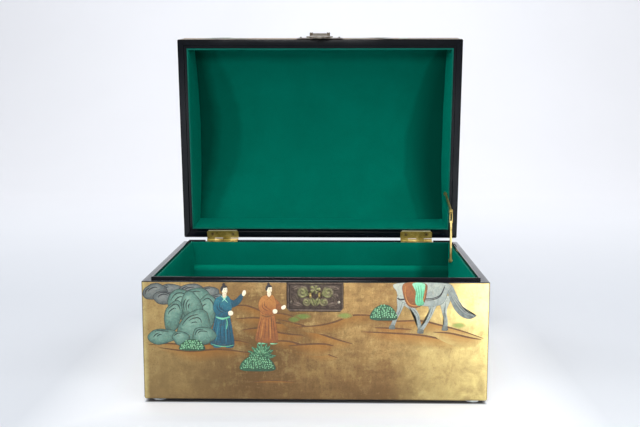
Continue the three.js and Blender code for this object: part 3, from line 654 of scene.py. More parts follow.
def ledges():
    """Padded boards: a full round along the top, a slightly crowned face."""
    for name, sign in (("ledge_front", -1), ("ledge_back", 1)):
        low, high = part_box(name)
        half, z0 = high.x / MM, low.z / MM
        outer = HALF_D - LINING_IN - 0.3
        inner = outer - LEDGE_THICKNESS
        roll = LEDGE_THICKNESS * 0.86
        crown = arc(inner + roll, LEDGE_TOP - roll, roll, 180, 90, 8)
        face = [(inner, z) for z in steps(z0, LEDGE_TOP - roll, 6)]
        profile = [(outer, z0), (inner, z0), *face, *crown, (outer, LEDGE_TOP)]
        rings = []
        for x in span_values(-half, half, 5):
            tuck = min(1.0, (half - abs(x)) / 1.5)
            ring = []
            for y, z in profile:
                soft = 0 if y >= outer else 1
                swell = ripple((x, z, sign * 50), 26, 0.4) + 0.25 * math.sin(x / 21 + sign)
                y2 = y + soft * (swell + 1.2 * (1 - tuck))
                z2 = z + (ripple((x, y, sign * 20), 30, 0.35) if z > LEDGE_TOP - roll else 0)
                ring.append(to_frame(x, sign * y2, z2))
            rings.append(ring)
        piece = velvet_piece(loft(rings), name + "_pad", [HIGHLIT_SHADED_VELVET], "box", name)


# ---- lid ----
def dome_z(radius):
    """Height of the dome, for an arc of this radius, as a function of y."""
    return lambda y: DOME_CENTRE + math.sqrt(radius**2 - min(abs(y), HALF_D) ** 2)


def lid_walls():
    """Front, back and ends: gold outside, a black rim with an eased edge, a rebate inside."""
    eased = 1.3
    rim = arc(eased, LID_Z + eased, eased, 180, 270, 5)
    flat = [(LID_FLAT - 0.3, LID_Z), (LID_FLAT, LID_Z + 0.3), (LID_FLAT, LID_Z + REBATE),
            (LID_BOARD, LID_Z + REBATE)]
    under = dome_z(DOME_RADIUS - DOME_BOARD)
    profile = [(0, under), (0, LID_Z + 2.2)] + rim + flat + [(LID_BOARD, under)]
    finish = [0] + [2] * len(rim) + [1] * (len(profile) - 1 - len(rim))
    nodes = {"front": "lid_front_panel", "back": "lid_back_panel",
             "left": "lid_left_end", "right": "lid_right_end"}
    for side, node in nodes.items():
        long = half_length(side) == HALF_W
        stations = [] if long else steps(LID_BOARD - HALF_D, HALF_D - LID_BOARD, 6)
        bm = loft(side_board(side, profile, CORNER, stations, shut), finish)
        finished(bm, "lid_" + side + "_board", [GOLD, LACQUER, EDGE_LACQUER], "lid", [node])


def dome_path():
    """Outer and inner points of the dome board's section, from the front edge to the back one."""
    ridge = 3.0
    half_angle = math.asin(HALF_D / DOME_RADIUS)
    slope = math.degrees(half_angle)
    inner = dome_z(DOME_RADIUS - DOME_BOARD)
    reach = ridge * math.tan(math.radians((90 - slope) / 2))
    centre_y = HALF_D - ridge
    top = dome_z(DOME_RADIUS)(HALF_D - reach * 0.6)
    centre_z = top - ridge * math.cos(half_angle)
    path = []
    cells = 40
    for i in range(cells + 1):
        y = -(centre_y - 1.0) + 2 * (centre_y - 1.0) * i / cells
        path.append(((y, dome_z(DOME_RADIUS)(y)), (y * 0.985, inner(y * 0.985))))
    tail = []
    for i in range(1, 6):
        angle = math.radians(90 - slope - (90 - slope) * i / 5)
        y = centre_y + ridge * math.cos(angle)
        z = centre_z + ridge * math.sin(angle) - 0.35
        y_in = HALF_D - 2.7 + 1.4 * i / 5
        tail.append(((y, z), (y_in, inner(y_in))))
    tail.append(((HALF_D, inner(HALF_D)), (HALF_D - 0.05, inner(HALF_D - 0.05))))
    mirrored = [((-o[0], o[1]), (-n[0], n[1])) for o, n in reversed(tail)]
    return mirrored + path + tail


def lid_dome():
    edge = 1.2
    section = [(-HALF_W + x, depth / DOME_BOARD) for x, depth in arc(edge, edge, edge, 180, 270, 3)]
    section += [(-x, t) for x, t in reversed(section)]
    section += [(HALF_W, 1), (-HALF_W, 1)]
    rings = [[shut(x, oy + (iy - oy) * t, oz + (iz - oz) * t) for x, t in section]
             for (oy, oz), (iy, iz) in dome_path()]
    finished(loft(rings), "lid_dome_board", [GOLD], "lid", ["lid_top_panel"],
             40)


def lid_lining_walls():
    under = dome_z(LINING_ARC - LINING_IN + LINING_OUT)
    bottom = arc(LINING_IN - 0.6, LID_LINING_Z + 0.6, 0.6, 0, -90, 3)
    bottom += arc(LINING_OUT + 0.6, LID_LINING_Z + 0.6, 0.6, 270, 180, 3)
    layers = 9

    def level(i):
        return lambda y: LID_LINING_Z + 0.8 + (under(y) - LID_LINING_Z - 0.8) * i / layers

    rise = [(LINING_IN, level(i)) for i in range(layers, 0, -1)]
    profile = rise + bottom + [(LINING_OUT, under)]
    edge = [0] * len(rise) + [1] * (len(bottom) - 1) + [0, 0]
    for side in SIDES:
        def soft(along, inset, z):
            if inset < LINING_IN - 0.5:
                return along, inset, z
            return along, inset + 0.15 + ripple((along, z, 47 * SIDES[side] + 9), 38, 0.45), z

        half = half_length(side) - LINING_IN
        bm = loft(side_board(side, profile, 0, steps(-half, half, 6), shut, soft), edge)
        velvet_piece(bm, "lid_" + side + "_velvet", [VELVET, VELVET_EDGE], "lid",
                     "lid_lining_" + side)


def wrinkle(x, y):
    """A short crease in the dome's velvet, low on the right."""
    cx, cy, angle = 112, HALF_D - 36, math.radians(28)
    dx, dy = x - cx, y - cy
    along = dx * math.cos(angle) + dy * math.sin(angle)
    side = -dx * math.sin(angle) + dy * math.cos(angle)
    return 0.9 * math.exp(-(along / 11) ** 2) * math.exp(-(side / 2.0) ** 2)


def lid_dome_velvet():
    half = HALF_W - LINING_OUT
    reach = math.asin((HALF_D - LINING_OUT) / LINING_ARC)
    thickness = LINING_IN - LINING_OUT
    xs = span_values(-half, half, 4)
    rings = []
    count = 60
    for i in range(count + 1):
        angle = -reach + 2 * reach * i / count
        sin, cos = math.sin(angle), math.cos(angle)
        y = LINING_ARC * sin
        ring = []
        for x in xs:
            swell = 0.3 + ripple((x, y, 5), 46, 0.5) + wrinkle(x, y)
            inner = LINING_ARC - thickness - swell
            ring.append(shut(x, inner * sin, DOME_CENTRE + inner * cos))
        ring += [shut(x, y, DOME_CENTRE + LINING_ARC * cos) for x in reversed(xs)]
        rings.append(ring)
    velvet_piece(loft(rings), "lid_dome_velvet", [DOME_VELVET], "lid", "lid_lining_top")


# ---- feet ----
def feet():
    """Low round bumpers with bulging sides."""
    for name in [n for n in frame["nodes"] if n.startswith("foot_")]:
        low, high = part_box(name)
        middle = (low + high) / 2
        radius = (high.x - low.x) / 2
        height = high.z - low.z
        profile = [(0, 0), (radius * 0.84, 0)]
        profile += [(radius * (0.84 + 0.16 * math.sin(a)), height * 0.75 * (1 - math.cos(a)))
                    for a in (math.radians(d) for d in range(15, 91, 15))]
        profile += [(radius, height * 0.93), (radius * 0.97, height), (0, height)]
        sides = 48
        rings = []
        for i in range(sides):
            x, y = math.cos(2 * math.pi * i / sides), math.sin(2 * math.pi * i / sides)
            rings.append([Vector((middle.x + r * x, middle.y + r * y, low.z + z))
                          for r, z in profile])
        finished(loft(rings + [rings[0]], capped=False), name + "_bumper", [RUBBER], "box",
                 [name])


# ---- latch plates ----
def smooth(low, high, value):
    t = max(0.0, min(1.0, (value - low) / (high - low)))
    return t * t * (3 - 2 * t)


def scroll(x, z, radius):
    """Height of a round boss with a spiral groove, from 0 to 1."""
    r = math.hypot(x, z) / radius
    if r > 1.25:
        return 0
    swirl = 0.5 + 0.5 * math.cos(2 * math.pi * (1.6 * r) - math.atan2(z, x))
    return smooth(1.2, 0.75, r) * (0.55 + 0.45 * swirl)


def leaf(x, z, length, width, angle):
    """Height of a pointed leaf with a vein, growing from the origin at an angle."""
    c, s = math.cos(angle), math.sin(angle)
    u, v = (x * c + z * s) / length, (-x * s + z * c) / width
    if not 0 < u < 1:
        return 0
    body = math.sin(math.pi * u) - abs(v)
    return smooth(0, 0.5, body) * (0.5 + 0.5 * smooth(0.02, 0.2, abs(v)))


def plate_relief(x, z, half, height):
    """Relief of a latch plate, 0 to 1; x from its middle, z down from the edge at the rim."""
    border = min(half - abs(x), z, height - z)
    band = 0.5 * smooth(0.2, 0.8, border) * smooth(2.2, 1.7, border)
    field = smooth(2.6, 3.4, border)
    ax = abs(x)
    flower = math.hypot(x * 0.9, z - 6.6)
    petals = 0.7 + 0.3 * math.cos(5 * math.atan2(z - 6.6, x + 1e-6))
    shapes = [
        0.22 + 0.12 * noise.noise(Vector((x * 1.1, z * 1.1, 4))),
        scroll(ax - 12.3, z - 9.6, 5.8),
        0.95 * scroll(ax - 8.4, z - 19.2, 4.2),
        0.8 * scroll(ax - 19.2, z - 14.0, 3.3),
        0.8 * leaf(ax - 4.5, z - 13.5, 11, 3.4, math.radians(-34)),
        0.75 * leaf(ax - 10.5, z - 23.2, 12.5, 2.8, math.radians(-14)),
        0.8 * leaf(ax - 14.5, z - 4.8, 9.5, 2.6, math.radians(14)),
        0.75 * leaf(ax - 17.5, z - 20.5, 7, 2.2, math.radians(-60)),
        0.9 * leaf(ax, z - 24.5, 12, 3.6, math.radians(-70)),
        0.95 * smooth(5.6, 3.8, flower) * petals,
    ]
    return max(band, field * max(shapes))


def relief_mesh():
    """A new mesh with the two layers that the bronze reads."""
    bm = bmesh.new()
    return bm, bm.verts.layers.float.new("height"), bm.verts.layers.float.new("rub")


def latch_plate(part, body, place):
    """A cast plate with a relief. place(x, out, z) puts a point; z runs down from the rim edge."""
    half, height, thickness, relief, clip = 27.0, 28.5, 1.0, 0.6, 3.4
    cell = 0.36

    def outline(x, z):
        """Pulls a grid point in behind the two clipped far corners."""
        excess = max(0, (abs(x) - half) + (z - height) + clip)
        return x - math.copysign(excess / 2, x), z - excess / 2

    bm, tone, rub = relief_mesh()
    upper, lower = [], []
    for z in span_values(0, height, cell):
        row, under = [], []
        for x in span_values(-half, half, cell):
            px, pz = outline(x, z)
            value = plate_relief(px, pz, half, height)
            edge = min(half - abs(px), pz, height - pz)
            rounded = -0.35 * (1 - smooth(0, 0.7, edge))
            out = thickness - relief * (1 - value) + rounded
            vert = bm.verts.new(place(px, out, pz))
            vert[tone] = value
            vert[rub] = smooth(19, 8, math.hypot(px * 0.9, (pz - 11) * 1.1))
            row.append(vert)
            back = bm.verts.new(place(px, 0, pz))
            back[tone] = 0.2
            under.append(back)
        upper.append(row)
        lower.append(under)
    close_slab(bm, upper, lower)
    finished(bm, "latch_" + part + "_relief", [BRONZE], body, ["latch_" + part + "_plate"],
             50)


def latch():
    """Both relief plates, 0.2 mm from their rims and 0.3 mm off the boards."""
    face = -HALF_D - 0.3

    def on_body(x, out, z):
        return to_frame(x, face - out, RIM_Z - 0.2 - z)

    def on_lid(x, out, z):
        return shut(x, face - out, LID_Z + 0.2 + z)

    latch_plate("body", "box", on_body)
    latch_plate("lid", "lid", on_lid)
    lugs()


def lugs():
    """Two rounded ears on the lid's plate that hold the tongue's pin."""
    rise, out, half = HASP_RISE, HASP_OUT, 2.9
    base = 0.9
    groove = 0.25
    nose = arc(out, rise, half, 90, -90, 12)
    profile = [(base, rise - half), *reversed(nose), (base, rise + half)]
    stations = ((8.0, 0.4), (8.35, 0), (9.2, 0), (9.45, groove), (10.3, groove), (10.55, 0),
                (11.45, 0), (11.8, 0.4))
    for name, sign in (("left", -1), ("right", 1)):
        bm, tone, rub = relief_mesh()
        rings = []
        for x, inset in stations:
            ring = []
            for o, z in profile:
                pull = 1 - inset / math.hypot(o - out, z - rise) if o > base else 1
                ring.append(shut(sign * x, -HALF_D - (out + (o - out) * pull),
                                 LID_Z + rise + (z - rise) * pull))
            rings.append(ring)
        loft(rings, bm=bm)
        for vert in bm.verts:
            vert[tone], vert[rub] = 0.55, 0.2
        finished(bm, "latch_lid_lug_" + name, [BRONZE], "lid", crease=50)


def screw(name, body, metal, place, radius, dome, length, turn):
    """A screw with a cross recess. place(u, v, h) puts a point, h out from the edge of its head."""
    arms = math.radians(turn)
    sides, shank = 48, 1

    def sunk(r, a):
        near = r * min(abs(math.cos(a - arms)), abs(math.sin(a - arms)))
        return 0.5 * smooth(0.36, 0.24, near) * smooth(0.74 * radius, 0.6 * radius, r)

    angles = [2 * math.pi * i / sides for i in range(sides)]
    profile = [(radius * k / 14, dome * (1 - (k / 14) ** 2)) for k in range(1, 15)]
    profile += [(radius, -0.12), (shank, -0.8), (shank, 0.8 - length), (0.2, -length)]
    rings = [[place(r * math.cos(a), r * math.sin(a), h - (sunk(r, a) if h >= 0 else 0))
              for a in angles] for r, h in profile]
    finished(loft(rings), name + "_head", [metal], body, [name], 40)


def screws():
    """Four flush screws in each hinge, and the stay's two domed ones."""
    leaf_y = HALF_D - 4.2
    dome = 0.9
    for k, name in enumerate(sorted(n for n in frame["nodes"] if "screw" in n)):
        low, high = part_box(name)
        middle = (low + high) / 2
        x = (low.x + high.x) / 2 / MM
        body = "box" if "lower" in name else "lid"

        def in_body(u, v, h):
            return to_frame(x + u, leaf_y + v, high.z / MM + h)

        def in_lid(u, v, h):
            return shut(x + u, leaf_y + v, LID_Z - 0.5 - h)

        def in_side(u, v, h):
            return Vector((low.x + (dome - h) * MM, middle.y + u * MM, middle.z + v * MM))

        if name.startswith("stay"):
            long = (high.x - low.x) / MM - dome
            screw(name, body, BRASS, in_side, 2.6, dome, long, 20 + 31 * k)
        else:
            place = in_body if body == "box" else in_lid
            screw(name, body, OLD_BRASS, place, 1.9, 0, 7, 31 * k)


def hardware():
    """The CAD's own metal pieces, with their edges eased and a real metal on them."""
    for name, node in frame["nodes"].items():
        if name.startswith(("foot_", "latch_body_plate", "latch_lid_plate")) or "screw" in name:
            continue
        slot = next(s["material_slot"] for s in frame["record"]["subparts"] if s["node"] == name)
        metal = {"brass": BRASS, "dark_bronze": SILVERED, "black_lacquer": LACQUER}.get(slot)
        if metal is None:
            continue
        if "staple" in name:
            metal = OLD_BRASS
        elif "upper_leaf" in name:
            metal = LEAF_BRASS
        for material_slot in node.material_slots:
            material_slot.material = metal
        if slot != "black_lacquer":
            bevel = node.modifiers.new("eased", "BEVEL")
            bevel.width = 0.0003 if "leaf" in name else 0.00018
            bevel.segments = 2
            bevel.limit_method = "ANGLE"
            bevel.angle_limit = math.radians(40)
    frame["nodes"]["base_panel"].material_slots[0].material = LACQUER


# ---- painted scenery ----
GROUND_LIFT, ROCK_LIFT, LIVING_LIFT, PLANT_LIFT = 0.05, 0.16, 0.2, 0.32  # off the boards
HORSE_AT = (96, 0)


def spline(points, closed, per=6):
    """A smooth curve through the points."""
    count = len(points)
    curve = []
    for i in range(count if closed else count - 1):
        if closed:
            p = [points[(i + k) % count] for k in (-1, 0, 1, 2)]
        else:
            p = [points[max(0, min(count - 1, i + k))] for k in (-1, 0, 1, 2)]
        for j in range(per):
            t = j / per
            curve.append(tuple(
                0.5 * (2 * p[1][a] + (p[2][a] - p[0][a]) * t
                       + (2 * p[0][a] - 5 * p[1][a] + 4 * p[2][a] - p[3][a]) * t * t
                       + (3 * p[1][a] - p[0][a] - 3 * p[2][a] + p[3][a]) * t**3)
                for a in (0, 1)))
    if not closed:
        curve.append(tuple(points[-1]))
    return curve


class Canvas:
    """Thin sheets of paint on one face, each a little above the last.

    A point is x to the right and d down from the face's upper edge; place(x, lift, d) puts it."""

    def __init__(self, place, lift=GROUND_LIFT):
        self.place, self.lift = place, lift
        self.at, self.scale, self.turn = (0, 0), 1.0, 1
        self.bm = bmesh.new()
        self.tone = self.bm.verts.layers.float.new("tone")
        self.paints = []

    def moved(self, at, scale=1.0, turn=1):
        """The same canvas, drawn on from another place at another size."""
        other = Canvas.__new__(Canvas)
        other.__dict__ = dict(self.__dict__, at=at, scale=scale, turn=turn)
        return other

    def vert(self, x, d, tone):
        x = self.at[0] + self.turn * self.scale * x
        made = self.bm.verts.new(self.place(x, self.lift, self.at[1] + self.scale * d))
        made[self.tone] = tone
        return made

    def face(self, verts, paint):
        if paint not in self.paints:
            self.paints.append(paint)
        self.bm.faces.new(verts).material_index = self.paints.index(paint)

    def rings(self, paint, outline, scales, tone_at, centre=None):
        self.lift += 0.003
        count = len(outline)
        cx, cd = centre or (sum(p[0] for p in outline) / count, sum(p[1] for p in outline) / count)
        rows = []
        for k, size in enumerate(scales):
            row = []
            for x, d in outline:
                far = math.hypot(x - cx, d - cd) or 1
                t = size if size <= 1 else max(0.3, 1 - (size - 1) / far)
                px, pd = cx + (x - cx) * t, cd + (d - cd) * t
                row.append(self.vert(px, pd, tone_at(k, px, pd)))
            rows.append(row)
        middle = self.vert(cx, cd, tone_at(len(scales), cx, cd))
        for a, b in zip(rows, rows[1:]):
            for i in range(count):
                j = (i + 1) % count
                self.face((a[i], a[j], b[j], b[i]), paint)
        for i in range(count):
            self.face((rows[-1][i], rows[-1][(i + 1) % count], middle), paint)

    def fill(self, paint, points, low=0.3, high=0.9, edge=0.5, line=0.0, centre=None,
             puffed=False):
        """A shape with a dark outline, shaded lighter towards its upper left; a puffed one is
        also lighter in its middle."""
        outline = spline(points, True)
        xs, ds = [p[0] for p in outline], [p[1] for p in outline]
        cx, cd = (min(xs) + max(xs)) / 2, (min(ds) + max(ds)) / 2
        reach = math.hypot(max(xs) - cx, max(ds) - cd) or 1

        def tone_at(ring, x, d):
            if ring == 0:
                return line
            slope = (0.45 * (cx - x) + 0.9 * (cd - d)) / reach
            light = 0.5 + 0.5 * slope
            if puffed:
                light *= (0.35, 0.8, 1, 1)[ring - 1]
            return low + (high - low) * light
        self.rings(paint, outline, (1, 1 + edge, 0.66, 0.33), tone_at, centre)

    def wash(self, paint, points, strength):
        """A soft stain that fades out at its edge."""
        levels = (0, 0.35, 0.7, 1, 1)
        self.rings(paint, spline(points, True), (1, 0.85, 0.65, 0.4),
                   lambda ring, x, d: strength * levels[ring])

    def stroke(self, paint, points, width, tone=0.1):
        """A brush stroke that tapers at both ends."""
        self.lift += 0.002
        path = spline(points, False)
        rows = []
        for i, (x, d) in enumerate(path):
            ahead, behind = path[min(i + 1, len(path) - 1)], path[max(i - 1, 0)]
            dx, dd = ahead[0] - behind[0], ahead[1] - behind[1]
            size = math.hypot(dx, dd) or 1
            t = i / (len(path) - 1)
            half = width / 2 * (0.12 + 0.88 * math.sin(math.pi * t) ** 0.6)
            nx, nd = -dd / size * half, dx / size * half
            rows.append((self.vert(x - nx, d - nd, tone), self.vert(x + nx, d + nd, tone)))
        for a, b in zip(rows, rows[1:]):
            self.face((a[0], b[0], b[1], a[1]), paint)

    def ground(self, points, depth, width=0.9):
        """A brown contour with a stain of earth below it."""
        self.lift += 0.002
        path = spline(points, False)
        rows = []
        for i, (x, d) in enumerate(path):
            swell = math.sin(math.pi * i / (len(path) - 1)) ** 0.7
            rows.append([self.vert(x, d + depth * f * swell, tone * swell)
                         for f, tone in ((0, 0.95), (0.35, 0.62), (1, 0))])
        for a, b in zip(rows, rows[1:]):
            for k in (0, 1):
                self.face((a[k], b[k], b[k + 1], a[k + 1]), EARTH)
        self.stroke(BROWN, points, width, 0.35)

    def dot(self, paint, x, d, radius, low, high):
        outline = arc(x, d, radius, 0, 315, 7)
        self.rings(paint, outline, (1,), lambda ring, px, pd: low if ring == 0 else high)

    def done(self, name, body):
        for face in self.bm.faces:
            face.normal_update()
        piece = in_scene(self.bm, name, self.paints)
        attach(piece, body)


def lobe(canvas, rng, paint, x, d, rx, rd, lean=0.0, creases=3):
    """A rounded rock with a dark edge and a few creases that follow it."""
    waves = [(swing, turns, rng.uniform(0, 6.28))
             for swing, turns in ((0.07, 2), (0.05, 3), (0.03, 5))]

    def edge(angle, size):
        r = 1
        for swing, turns, phase in waves:
            r += swing * math.sin(turns * angle + phase)
        u, v = rx * r * size * math.cos(angle), rd * r * size * math.sin(angle)
        return x + u + lean * v, d + v

    outline = [edge(2 * math.pi * i / 14, 1) for i in range(14)]
    canvas.fill(paint, outline, 0.22, 1.05, 1.1, centre=(x, d), puffed=True)
    for k in range(creases - 1):
        size = 0.8 - 0.22 * k
        start = math.radians(rng.uniform(150, 230))
        sweep = math.radians(rng.uniform(70, 120))
        path = [edge(start + sweep * i / 5, size - 0.02 * i) for i in range(6)]
        canvas.stroke(paint, path, 1.1, 0.0)


def rocks(canvas, rng, paint):
    """A tall leaning rock made of lobes, about 45 by 60, standing on d = 0."""
    for shape in ((6, -42, 15, 13, -0.1), (-6, -38, 14, 16, 0.1), (-16, -27, 9, 15, -0.15),
                  (15, -30, 10, 19, -0.2), (2, -36, 11, 14, 0.2, 4), (4, -16, 15, 18, -0.12, 4),
                  (-27, -7, 14, 8, -0.1, 4), (13, -8, 12, 8.5, 0.1), (-9, -5, 9, 7, 0.2, 2)):
        lobe(canvas, rng, paint, *shape)


def mound(canvas, rng, x, d, rx, rd, gap=2.1, dots=1.0):
    """A dome-shaped bush of small round leaves, its foot at d."""
    outline = [(x - rx, d), (x - 0.9 * rx, d - 0.55 * rd), (x - 0.35 * rx, d - 0.98 * rd),
               (x + 0.35 * rx, d - rd), (x + 0.85 * rx, d - 0.6 * rd), (x + rx, d),
               (x, d + 0.1 * rd)]
    canvas.fill(GREEN, outline, 0.1, 0.45)
    row, v = 0, 0.15
    while v < 1:
        reach = rx * math.sqrt(max(0.0, 1 - v**1.7)) * 0.96
        count = max(1, int(2 * reach / gap))
        for i in range(count + 1):
            px = x - reach + 2 * reach * (i + 0.5 * (row % 2)) / (count + 0.5)
            px += rng.uniform(-0.6, 0.6)
            shade = 0.8 + 0.2 * rng.random()
            pd = d - v * rd + rng.uniform(-0.5, 0.5)
            canvas.dot(GREEN, px, pd, 0.42 * gap * dots, 0.6, shade)
        v += gap * 0.85 / rd
        row += 1


def leafy(canvas, rng, x, d, rx, rd):
    """A bush of broad dark leaves fanning out from its foot."""
    for layer in range(3):
        for i in range(9):
            angle = math.radians(-172 + 164 * (i + 0.4 * (layer % 2)) / 8 + rng.uniform(-6, 6))
            size = (1 - 0.24 * layer) * rng.uniform(0.85, 1.05)
            tx, td = x + rx * size * math.cos(angle), d + rd * size * math.sin(angle)
            nx, nd = -math.sin(angle) * 1.7, math.cos(angle) * 1.7
            mx, md = x + (tx - x) * 0.6, d + (td - d) * 0.6
            shape = [(x, d), (mx + nx, md + nd), (tx, td), (mx - nx, md - nd)]
            canvas.fill(GREEN, shape, 0.12, 0.5 + 0.15 * layer, 0.35)
            canvas.stroke(GREEN, [(x, d), (tx, td)], 0.35, 0.8)


def face_of(canvas, x, d, size):
    """A calm, plain face in three-quarter view."""
    def at(*pairs):
        return [(x + u * size, d + v * size) for u, v in pairs]

    canvas.fill(SKIN, at((-2.9, -2.4), (0, -4.0), (2.8, -2.6), (3.2, 0), (2.6, 2.6), (0.6, 4.4),
                         (-1.6, 3.2), (-2.9, 0.6)), 0.45, 0.95, 0.25, 0.1)
    for side in (0, 2.1):
        canvas.stroke(INK, at((-0.2 + side, -1.2), (0.6 + side, -1.45), (1.3 + side, -1.15)),
                      0.3 * size, 0.4)
        canvas.stroke(INK, at((0 + side, -0.35), (0.6 + side, -0.5), (1.15 + side, -0.3)),
                      0.42 * size, 0.1)
    canvas.stroke(SKIN, at((1.7, -0.4), (2.2, 1.0), (1.6, 1.2)), 0.28 * size, 0.05)
    canvas.stroke(ORANGE, at((0.8, 2.3), (1.5, 2.45), (2.1, 2.25)), 0.45 * size, 0.15)
    canvas.fill(INK, at((-3.5, 1.4), (-3.9, -2.2), (-1.6, -5.2), (1.8, -5.0), (3.1, -2.9),
                        (0.6, -3.2), (-1.7, -1.8), (-2.2, 0.8)), 0.2, 0.6, 0.25)
    canvas.dot(INK, *at((-0.6, -6.2))[0], 1.5 * size, 0.1, 0.5)


def figure(canvas, robe, trim, shoes, pose):
    """A standing person in a long robe, 60 tall; d = 0 is the top of the head. The far arm is
    raised in pose 0 and bent in pose 1."""
    def skin(*points):
        canvas.fill(SKIN, points, 0.5, 0.95, 0.25, 0.1)

    def lines(*strokes):
        for cloth, width, tone, *points in strokes:
            canvas.stroke(cloth, points, width, tone)

    for u in (-8.5, 3.5):
        canvas.fill(shoes, [(u - 3, 60.5), (u - 1, 58.5), (u + 3.5, 59.8), (u + 4.6, 61.8),
                            (u + 1, 62.6), (u - 2.6, 62.2)], 0.4, 0.9, 0.3)
    far = [[(2, 13), (9, 15), (16.5, 8.5), (18.6, 10.6), (14.5, 18.5), (7.5, 22.5), (3, 21)],
           [(2, 13), (8, 16), (13, 22), (13.5, 25.6), (9, 26), (3, 23)]][pose]
    canvas.fill(robe, far, 0.2, 0.6, 0.45)
    skin(*[((17, 9.6), (18.2, 5.6), (20.4, 5.2), (21, 8.2), (19, 10.8)),
           ((12.4, 23), (15.6, 21.2), (17.2, 23), (15.4, 25.6), (12.8, 25.6))][pose])
    canvas.fill(robe, [(-2.6, 10.5), (-8.6, 13.6), (-10.6, 22), (-9.4, 31), (-12.4, 46),
                       (-14.4, 59), (-6, 61.2), (2, 61.4), (9, 60), (7.4, 44), (5.6, 31),
                       (7.2, 21), (5, 12.4), (1.4, 10.2)], 0.25, 0.85, centre=(-2, 34))
    for u, lean in ((-10.6, -1.6), (-7.4, -1.2), (-4.4, -0.6), (-0.8, 0), (2.2, 0.8), (4.8, 1.4)):
        lines((robe, 0.6, 0.04, (u * 0.72, 33.5), (u * 0.92 + lean * 0.4, 46), (u + lean, 59)))
    lines((robe, 1.1, 0.8, (-5.8, 36), (-7.5, 47), (-9, 57)),
          (robe, 1.1, 0.78, (0.8, 36), (1.0, 47), (1.2, 57)),
          (trim, 0.9, 0.5, (-14.2, 58.6), (-6, 60.8), (2, 61), (8.8, 59.6)),
          (trim, 1.8, 0.6, (-8.8, 31.6), (-2, 33.4), (5.6, 31.4)),
          (trim, 1.1, 0.5, (1.6, 32.6), (2.4, 38), (1.4, 44)))
    canvas.fill(robe, [(-7.8, 13.8), (-3.6, 15), (-3, 22.6), (3.4, 25), (5.2, 28.4), (1.4, 31.8),
                       (-6.4, 30.6), (-10.8, 25), (-10.6, 18)], edge=0.45)
    lines((robe, 0.6, 0.05, (-7, 18), (-6.6, 24), (-1, 27.6)),
          (robe, 0.6, 0.05, (-4.6, 17), (-4.4, 22.6), (1.6, 26.6)))
    skin((3.6, 26.6), (6.4, 25.4), (8.4, 27.2), (7.4, 29.8), (4.2, 30))
    canvas.fill(SKIN, [(-1.6, 8), (1.8, 8), (1.6, 11.6), (-0.4, 13.2), (-1.8, 11.4)],
                0.3, 0.6, 0.2, 0.1)
    lines((trim, 0.9, 0.9, (-3.2, 10.6), (-0.4, 13.6), (3.2, 17.4)),
          (trim, 0.9, 0.9, (2.6, 10.4), (0.6, 13.2), (-2.4, 16.4)))
    face_of(canvas, 0, 5.2, 0.94)


# ---- the horse ----
def leg(canvas, *joints):
    """A horse's leg along four joints, with a hoof at its end."""
    (ax, ad), (bx, bd), (cx, cd), (ex, ed) = joints
    canvas.fill(GREY, [(ax - 5, ad), (ax + 5, ad), (bx + 2.6, bd), (cx + 1.7, cd), (ex + 2.0, ed),
                       (ex - 2.0, ed), (cx - 1.6, cd), (bx - 2.4, bd)], 0.3, 0.8, 0.4,
                centre=((bx + ax) / 2, (bd + ad) / 2))
    canvas.fill(SLATE, [(ex - 1.9, ed - 1.5), (ex + 2.2, ed - 1.3), (ex + 2.8, ed + 2.2),
                        (ex - 2.7, ed + 2.2)], 0.2, 0.7, 0.3)
    canvas.stroke(GREY, [(ax + 1, ad + 2), (bx + 0.7, bd), (cx + 0.3, cd)], 0.5, 0.1)


def horse(canvas):
    """The lower half of a walking horse with a blanket; the box's rim cuts it off at d = 0."""
    top = 0.9
    leg(canvas, (27, 14), (26, 27), (28, 37), (27, 44))
    leg(canvas, (-14, 16), (-1, 29), (2, 37), (4, 46))
    canvas.fill(GREY, [(27, 1.5), (33, 2.5), (37, 10), (43, 22), (50, 30), (57, 31.5), (51, 35),
                       (43, 33), (36, 26), (31, 15)], 0.15, 0.5, centre=(37, 19))
    for k in range(6):
        hair = [(28.5 + 0.7 * k, 4 + k), (34 + 0.6 * k, 16 - 0.4 * k),
                (43 + 0.9 * k, 28.5 - 0.5 * k), (54, 32.4 - 0.1 * k)]
        canvas.stroke(GREY, hair, 0.4, 0.75 if k % 2 else 0.02)
    leg(canvas, (-13, 12), (-16, 26), (-20, 36), (-23, 43))
    leg(canvas, (16, 14), (14, 28), (10, 38), (4, 47))
    canvas.fill(GREY, [(-19, top), (29, top), (29.5, 9), (25, 20), (15, 23), (4, 22.5), (-8, 21),
                       (-16, 17), (-19, 9)], 0.35, 0.95)
    for shift in (0, 1.3):
        strap = [(26.5, top + 1.5 + shift), (22, 12 + shift), (13, 15.5 + shift), (2, 14.5 + shift)]
        canvas.stroke(INK, strap, 0.9, 0.5)
    canvas.stroke(INK, [(-18.5, 15), (-15, 16.6), (-9, 15.6)], 1.6, 0.4)
    canvas.fill(ORANGE, [(-12, top), (8, top), (9.5, 10), (7, 20), (0, 24.5), (-8, 22.5),
                         (-12.5, 13)], 0.1, 0.5, 0.6)
    canvas.stroke(ORANGE, [(-10.6, 3), (-10.8, 12), (-7, 20.6), (0, 22.4), (5.6, 18.6), (7.8, 10),
                           (6.8, 3)], 0.8, 0.95)
    canvas.fill(JADE, [(-4, top), (7, top), (7.5, 8), (6, 16), (7, 21), (1, 22.5), (-1.5, 18),
                       (-1, 9)], 0.3, 0.85, 0.5, 0.02)
    for k in range(3):
        fold = [(-1.6 + 2.6 * k, 2.4), (0.4 + 2 * k, 11), (0.8 + 1.7 * k, 20)]
        canvas.stroke(JADE, fold, 0.5, 0.05)


